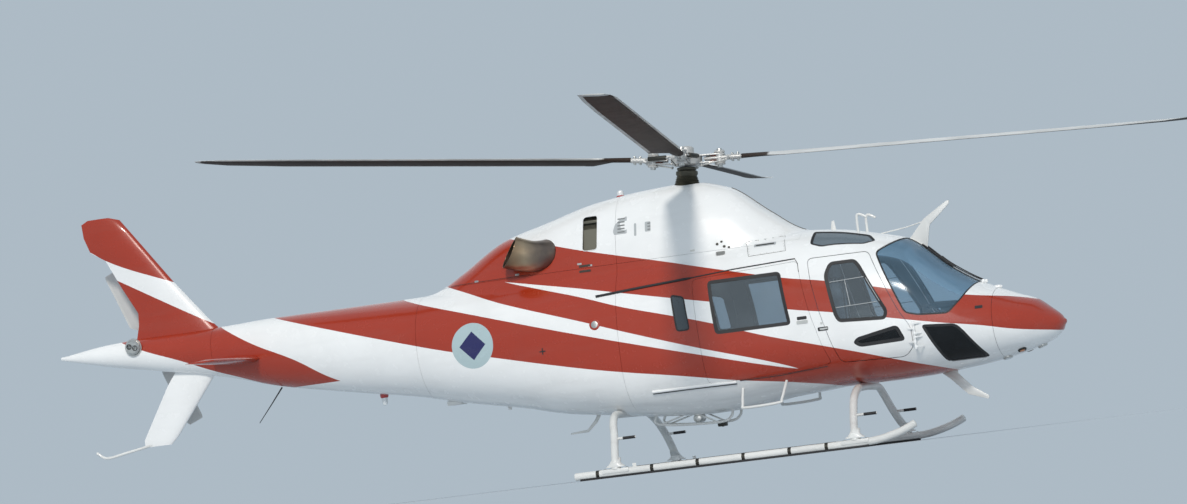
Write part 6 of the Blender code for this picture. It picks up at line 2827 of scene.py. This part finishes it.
@dataclass
class Seats:
    """The crew's two seats and the two benches, padded and belted.

    Attributes:
        crew_rows: The middles of the crew's seats, across the cabin.
        floor: The floor's height.
        harness: Stations and heights along a shoulder belt.
    """

    crew_rows: tuple[float, float] = (-0.36, 0.36)
    floor: float = 0.8404
    harness: Outline = (
        (1.345, 1.800), (1.40, 1.806), (1.458, 1.790), (1.464, 1.60), (1.464, 1.42), (1.466, 1.26),
        (1.52, 1.226),
    )

    def build(self) -> None:
        """Builds every seat."""
        parts = {
            "cushion": Pad((1.42, -0.22, 1.10), (1.92, 0.22, 1.22), UP, (0, (1.56, 1.70, 1.83))),
            "back": Pad((1.34, -0.22, 1.125), (1.46, 0.22, 1.80), AHEAD, (2, (1.30, 1.44, 1.58, 1.70))),
            "head": Pad((1.33, -0.13, 1.81), (1.43, 0.13, 1.98), AHEAD, (2, ()), 0.008, 0.010),
        }
        shapes = {part: pad.shape() for part, pad in parts.items()}
        for node, y in zip(("pilot_seat", "copilot_seat"), self.crew_rows):
            for part, form in shapes.items():
                self.pad(f"{node}_{part}", Form().add(form, Matrix.Translation((0, y, 0))), [node])
            self.crew_frame(node, y)
        for form in shapes.values():
            form.mesh.free()
        for node, seat, back_x, base in (
            ("rear_seats", (-0.54, -0.10), (-0.68, -0.55), (-0.60, -0.20)),
            ("middle_seats", (0.80, 1.17), (1.18, 1.30), (0.88, 1.22)),
        ):
            self.bench(node, seat, back_x, base)

    @staticmethod
    def pad(name: str, form: Form, nodes: Sequence[str]) -> None:
        """Finishes one cushion with a smooth skin.

        Args:
            name: The name.
            form: The cushion.
            nodes: The solids that it replaces.
        """
        piece = form.done(name, SEAT_CLOTH, "seat_cloth", replaces=nodes, smooth=180)
        smooth = piece.modifiers.new("smooth", "SUBSURF")
        smooth.levels = smooth.render_levels = 1

    def crew_frame(self, node: str, y: float) -> None:
        """A crew seat's shell, its pedestal and its belts.

        Args:
            node: The seat's name.
            y: Its middle, across the cabin.
        """
        form = Form()
        form.box((1.325, y - 0.205, 1.12), (1.338, y + 0.205, 1.79), 0.006)
        form.box((1.46, y - 0.16, 1.055), (1.84, y + 0.16, 1.098), 0.012)
        for x in (1.48, 1.78):
            for way in (-0.13, 0.13):
                form.rod((x, y + way, self.floor + 0.02), (x, y + way * 0.8, 1.06), 0.016, sides=14, tint=1)
        for way in (-0.13, 0.13):
            form.box((1.44, y + way - 0.02, self.floor), (1.86, y + way + 0.02, self.floor + 0.022),
                     0.004, 1)
        for way in (-0.07, 0.07):
            form.rod((1.375, y + way, 1.75), (1.375, y + way, 1.85), 0.008, sides=12, tint=1)
            self.strap(form, self.harness, y + way, 0.048, 2)
        self.strap(form, ((1.53, 1.05), (1.535, 1.20), (1.54, 1.2245)), y, 0.46, 2)
        form.box((1.505, y - 0.035, 1.222), (1.565, y + 0.035, 1.238), 0.006, 1)
        form.done(f"{node}_frame", (SEAT_SHELL, STEEL, WEBBING), "seat_cloth")

    @staticmethod
    def strap(form: Form, chain: Outline, y: float, wide: float, tint: int) -> None:
        """Adds a flat strap.

        Args:
            form: The form to add it to.
            chain: Stations and heights that it passes.
            y: Its middle.
            wide: Its width.
            tint: The number of its finish.
        """
        line = smoothed([(x, 0, z) for x, z in chain], 5)
        rings = []
        for index, here in enumerate(line):
            way = (line[min(index + 1, len(line) - 1)] - line[max(index - 1, 0)]).normalized()
            lift = Vector((-way.z, 0, way.x)) * 0.0012
            side = Vector((0, wide / 2, 0))
            spot = here + Vector((0, y, 0))
            rings.append([spot - side - lift, spot + side - lift, spot + side + lift, spot - side + lift])
        form.loft(rings, tint=tint)

    def bench(self, node: str, seat: Outline, back: Outline, base: Outline) -> None:
        """A bench: three cushions and three backs on one box, with lap belts.

        Args:
            node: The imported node.
            seat: Rear and front of the cushions.
            back: The same of the backs.
            base: The same of the box.
        """
        third = 1.24 / 3
        rear = seat[0]
        shapes = {
            "cushion": Pad((rear, -third / 2 + 0.002, 1.10), (seat[1], third / 2 - 0.002, 1.22), UP,
                           (0, (rear + 0.15, rear + 0.29)), 0.013).shape(),
            "back": Pad((back[0], -third / 2 + 0.004, 1.14), (back[1], third / 2 - 0.004, 1.85), AHEAD,
                        (2, (1.32, 1.50, 1.68)), 0.013).shape(),
        }
        for part, form in shapes.items():
            whole = Form()
            for index in (-1, 0, 1):
                wide = 1.0 if part == "cushion" else 0.966
                whole.add(form, Matrix.Translation((0, index * third * wide, 0)))
            form.mesh.free()
            self.pad(f"{node}_{part}", whole, [node])
        frame = Form()
        frame.box((base[0], -0.50, self.floor), (base[1], 0.50, 1.098), 0.012)
        frame.box((back[0] - 0.008, -0.59, 1.12), (back[0] - 0.0005, 0.59, 1.84), 0.003)
        for index in (-1, 0, 1):
            y = index * third
            belt = ((rear + 0.03, 1.222), (rear + 0.14, 1.2235), (rear + 0.25, 1.221))
            for way in (-0.10, 0.10):
                self.strap(frame, belt, y + way, 0.046, 1)
            frame.box((rear + 0.10, y - 0.03, 1.2215), (rear + 0.15, y + 0.03, 1.236), 0.005, 2)
        frame.done(f"{node}_frame", (SEAT_SHELL, WEBBING, STEEL), "seat_cloth")


@dataclass
class Cabin:
    """What shows through the glass: floor, lining, instrument panel and controls.

    Attributes:
        shield: The side view of the shield over the instruments.
    """

    shield: Outline = (
        (2.52, 1.385), (2.60, 1.418), (2.838, 1.405), (2.838, 1.345), (2.60, 1.352), (2.52, 1.36),
    )

    def build(self) -> None:
        """Dresses the cabin."""
        for node, finish in (("cabin_floor", CARPET), ("engine", STEEL), ("main_gearbox", STEEL)):
            kept = FRAME["nodes"][node]
            kept.data.materials.clear()
            kept.data.materials.append(finish.material())
        lining = Form().box((-0.70, -1, 2.185), (1.60, 1, 2.197), 0)
        lining.cut(("INTERSECT", self.core(-0.8, 1.7)))
        lining.done("ceiling_lining", TRIM, "cabin_trim")
        wall = Form().box((-0.725, -1, 0.5), (-0.705, 1, 2.19), 0)
        wall.cut(("INTERSECT", self.core(-0.8, -0.6)))
        wall.done("rear_bulkhead", TRIM, "cabin_trim")
        self.panel()
        self.controls()

    def panel(self) -> None:
        """The instrument panel with its screens and dials, its shield and the pedestal."""
        form = Form()
        form.box((2.655, -0.415, 1.02), (2.795, 0.415, 1.35), 0.012)
        form.prism(rounded(self.shield, 0.012, 3), -0.438, 0.438, bevel=0.004)
        form.box((2.10, -0.108, Seats.floor), (2.655, 0.108, 1.085), 0.014)
        for y in (-0.31, -0.11, 0.11, 0.31):
            form.box((2.648, y - 0.088, 1.135), (2.656, y + 0.088, 1.325), 0.004, 1)
            form.box((2.645, y - 0.074, 1.155), (2.650, y + 0.074, 1.305), 0.003, 2)
            for step in range(5):
                across = y - 0.06 + step * 0.03
                form.box((2.644, across - 0.009, 1.138), (2.650, across + 0.009, 1.147), 0.0015, 3)
        for y in (-0.36, -0.27, 0.27, 0.36):
            form.rod((2.656, y, 1.085), (2.647, y, 1.085), 0.034, sides=28, bevel=0.002, tint=1)
            form.rod((2.649, y, 1.085), (2.645, y, 1.085), 0.029, sides=28, tint=2)
        for row in range(6):
            for y in (-0.066, -0.022, 0.022, 0.066):
                x = 2.17 + row * 0.076
                key = 3 if row % 2 else 2
                form.box((x - 0.024, y - 0.016, 1.084), (x + 0.024, y + 0.016, 1.091), 0.003, key)
        form.done(
            "instrument_panel_dress", (DARK_TRIM, RUBBER, SCREEN, GREY), "cabin_trim",
            replaces=["instrument_panel"],
        )

    def controls(self) -> None:
        """Sticks, levers and pedals before both crew seats."""
        form = Form()
        floor = Seats.floor
        for y in Seats.crew_rows:
            form.lathe(((0, 0), (0.055, 0), (0.045, 0.025), (0.020, 0.06), (0, 0.06)),
                       (2.10, y, floor), sides=24, tint=1)
            stick = ((2.10, y, floor + 0.03), (2.09, y, 1.00), (2.02, y, 1.14), (2.01, y, 1.24))
            form.sweep(smoothed(stick, 5), 0.012, 12)
            grip = ((2.012, y, 1.225), (2.015, y, 1.27), (2.03, y, 1.315), (2.045, y, 1.34))
            form.sweep(smoothed(grip, 4), [0.018] * 5 + [0.021] * 5 + [0.024, 0.024, 0.020], 14, tint=1)
            lever = [(x, y + 0.265, z) for x, z in ((1.50, floor + 0.03), (1.78, 1.05), (1.90, 1.13))]
            form.sweep(lever, 0.011, 12)
            form.rod(lever[-1], (2.00, y + 0.265, 1.20), 0.020, sides=16, bevel=0.005, tint=1)
            for way in (-0.09, 0.09):
                form.rod((2.62, y + way, floor), (2.56, y + way, 0.965), 0.009, sides=10)
                form.box((2.535, y + way - 0.035, 0.955), (2.565, y + way + 0.035, 1.015), 0.006, 1)
        form.done("flight_controls", (STEEL, RUBBER), "cabin_trim")

    @staticmethod
    def core(low: float, high: float) -> Form:
        """The solid space inside the cabin's wall between two stations.

        Args:
            low: The rear station.
            high: The front station.

        Returns:
            The solid.
        """
        sheet = HULL.sheet(low, high, None, -0.032, 0.08)
        rims = [edge for edge in sheet.edges if edge.is_boundary]
        bmesh.ops.holes_fill(sheet, edges=rims, sides=0)
        return Form(sheet)


@dataclass
class Studio:
    """The floor, the lights and the camera.

    Attributes:
        azimuth: Where the camera stands, in degrees round from the right side towards the nose.
        distance: How far it is from the mast.
        eye: Its height, just above the floor.
        yaw: Where it looks, from straight left towards the nose.
        pitch: How far it looks up.
        roll: How far it is turned about its own line of sight.
        lens: Its focal length.
        backdrop: The colour all round.
        suns: Name, strength, softness in degrees, direction and tint of each light.
    """

    azimuth: float = 16.0
    distance: float = 50.0
    eye: float = 0.06
    yaw: float = -17.268
    pitch: float = 2.70
    roll: float = -6.93
    lens: float = 141.9
    backdrop: Colour = (0.42, 0.495, 0.56)
    suns: tuple[tuple[str, float, float, Point, Colour], ...] = (
        ("key", 1.82, 7.0, (0.114, -0.811, 0.574), (1.0, 0.95, 0.885)),
        ("rim", 0.22, 60.0, (-0.45, 0.72, 0.53), (1.0, 0.98, 0.95)),
        ("fill", 0.62, 40.0, (0.15, -0.985, 0.04), (0.96, 0.98, 1.0)),
    )

    def build(self) -> None:
        """Sets the stage."""
        self.floor()
        self.lights()
        self.camera()

    def floor(self) -> None:
        """A plain pale floor, as bright where the sun falls on it as the backdrop that it fades into."""
        shape = bmesh.new()
        bmesh.ops.create_circle(shape, cap_ends=True, segments=96, radius=180)
        mesh = bpy.data.meshes.new("floor")
        shape.to_mesh(mesh)
        shape.free()
        direct = [sum(power * way[2] * tint[axis] for _, power, _, way, tint in self.suns) / math.pi
                  for axis in range(3)]
        colour = [value / (value + sun) for value, sun in zip(self.backdrop, direct)]
        recipe = Recipe("studio_floor")
        recipe.set(Base_Color=colour, Roughness=1.0, Specular_IOR_Level=0.0)
        x, y, _ = recipe.place()
        away = (x * x + y * y).math("SQRT").rising(9, 20)
        glow = recipe.node("ShaderNodeEmission", sockets={"Color": self.backdrop})
        solid = Wire(recipe, recipe.shader.outputs[0])
        mixed = recipe.node("ShaderNodeMixShader", sockets={0: away, 1: solid, 2: glow})
        recipe.feed(recipe.tree.nodes["Material Output"].inputs["Surface"], mixed)
        mesh.materials.append(recipe.material)
        floor = bpy.data.objects.new("floor", mesh)
        bpy.context.scene.collection.objects.link(floor)
        floor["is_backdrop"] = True

    def lights(self) -> None:
        """Pale surroundings, a soft sun over the right side, and weaker ones behind and low down."""
        scene = bpy.context.scene
        scene.view_settings.view_transform = "Standard"
        scene.world = bpy.data.worlds.new("studio")
        scene.world.use_nodes = True
        scene.world.node_tree.nodes["Background"].inputs[0].default_value = (*self.backdrop, 1)
        for name, power, softness, way, tint in self.suns:
            lamp = bpy.data.lights.new(name, "SUN")
            lamp.energy = power
            lamp.color = tint
            lamp.angle = math.radians(softness)
            item = bpy.data.objects.new(name, lamp)
            item.location = Vector(way) * 20
            item.rotation_euler = (-Vector(way)).to_track_quat("-Z", "Y").to_euler()
            scene.collection.objects.link(item)

    def camera(self) -> None:
        """The camera at the floor, turned and rolled as the photograph's was."""
        lens = bpy.data.cameras.new("camera")
        lens.sensor_width = 36
        lens.lens = self.lens
        lens.clip_end = 500
        eye = bpy.data.objects.new("camera", lens)
        azimuth = math.radians(self.azimuth)
        place = Vector((math.sin(azimuth), -math.cos(azimuth), 0)) * self.distance
        eye.location = (MAST_X + place.x, place.y, self.eye)
        upright = Quaternion((1, 0, 0), math.pi / 2 + math.radians(self.pitch))
        turn = Quaternion((0, 0, 1), -math.radians(self.yaw)) @ upright
        eye.rotation_mode = "QUATERNION"
        eye.rotation_quaternion = turn @ Quaternion((0, 0, 1), math.radians(self.roll))
        bpy.context.scene.collection.objects.link(eye)
        bpy.context.scene.camera = eye


def corners(bounds: object) -> list[list[float]]:
    """The bounds as plain lists of numbers."""
    return [[float(value) for value in corner] for corner in bounds]


def main() -> None:
    """Builds every sub-assembly in order."""
    logging.basicConfig(level=logging.INFO, format="%(message)s")
    for item in list(bpy.data.objects):
        bpy.data.objects.remove(item)
    FRAME.update(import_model())
    packed = corners(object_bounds())
    for assembly in (
        Studio(), Fuselage(), Cowlings(), Exhaust(), Empennage(), MainRotor(), TailRotor(),
        LandingGear(), Fittings(), Seats(), Cabin(),
    ):
        assembly.build()
        LOG.info("%s is built", type(assembly).__name__)
    {"packed": packed, "dressed": corners(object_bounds())}


if __name__ == "__main__":
    main()
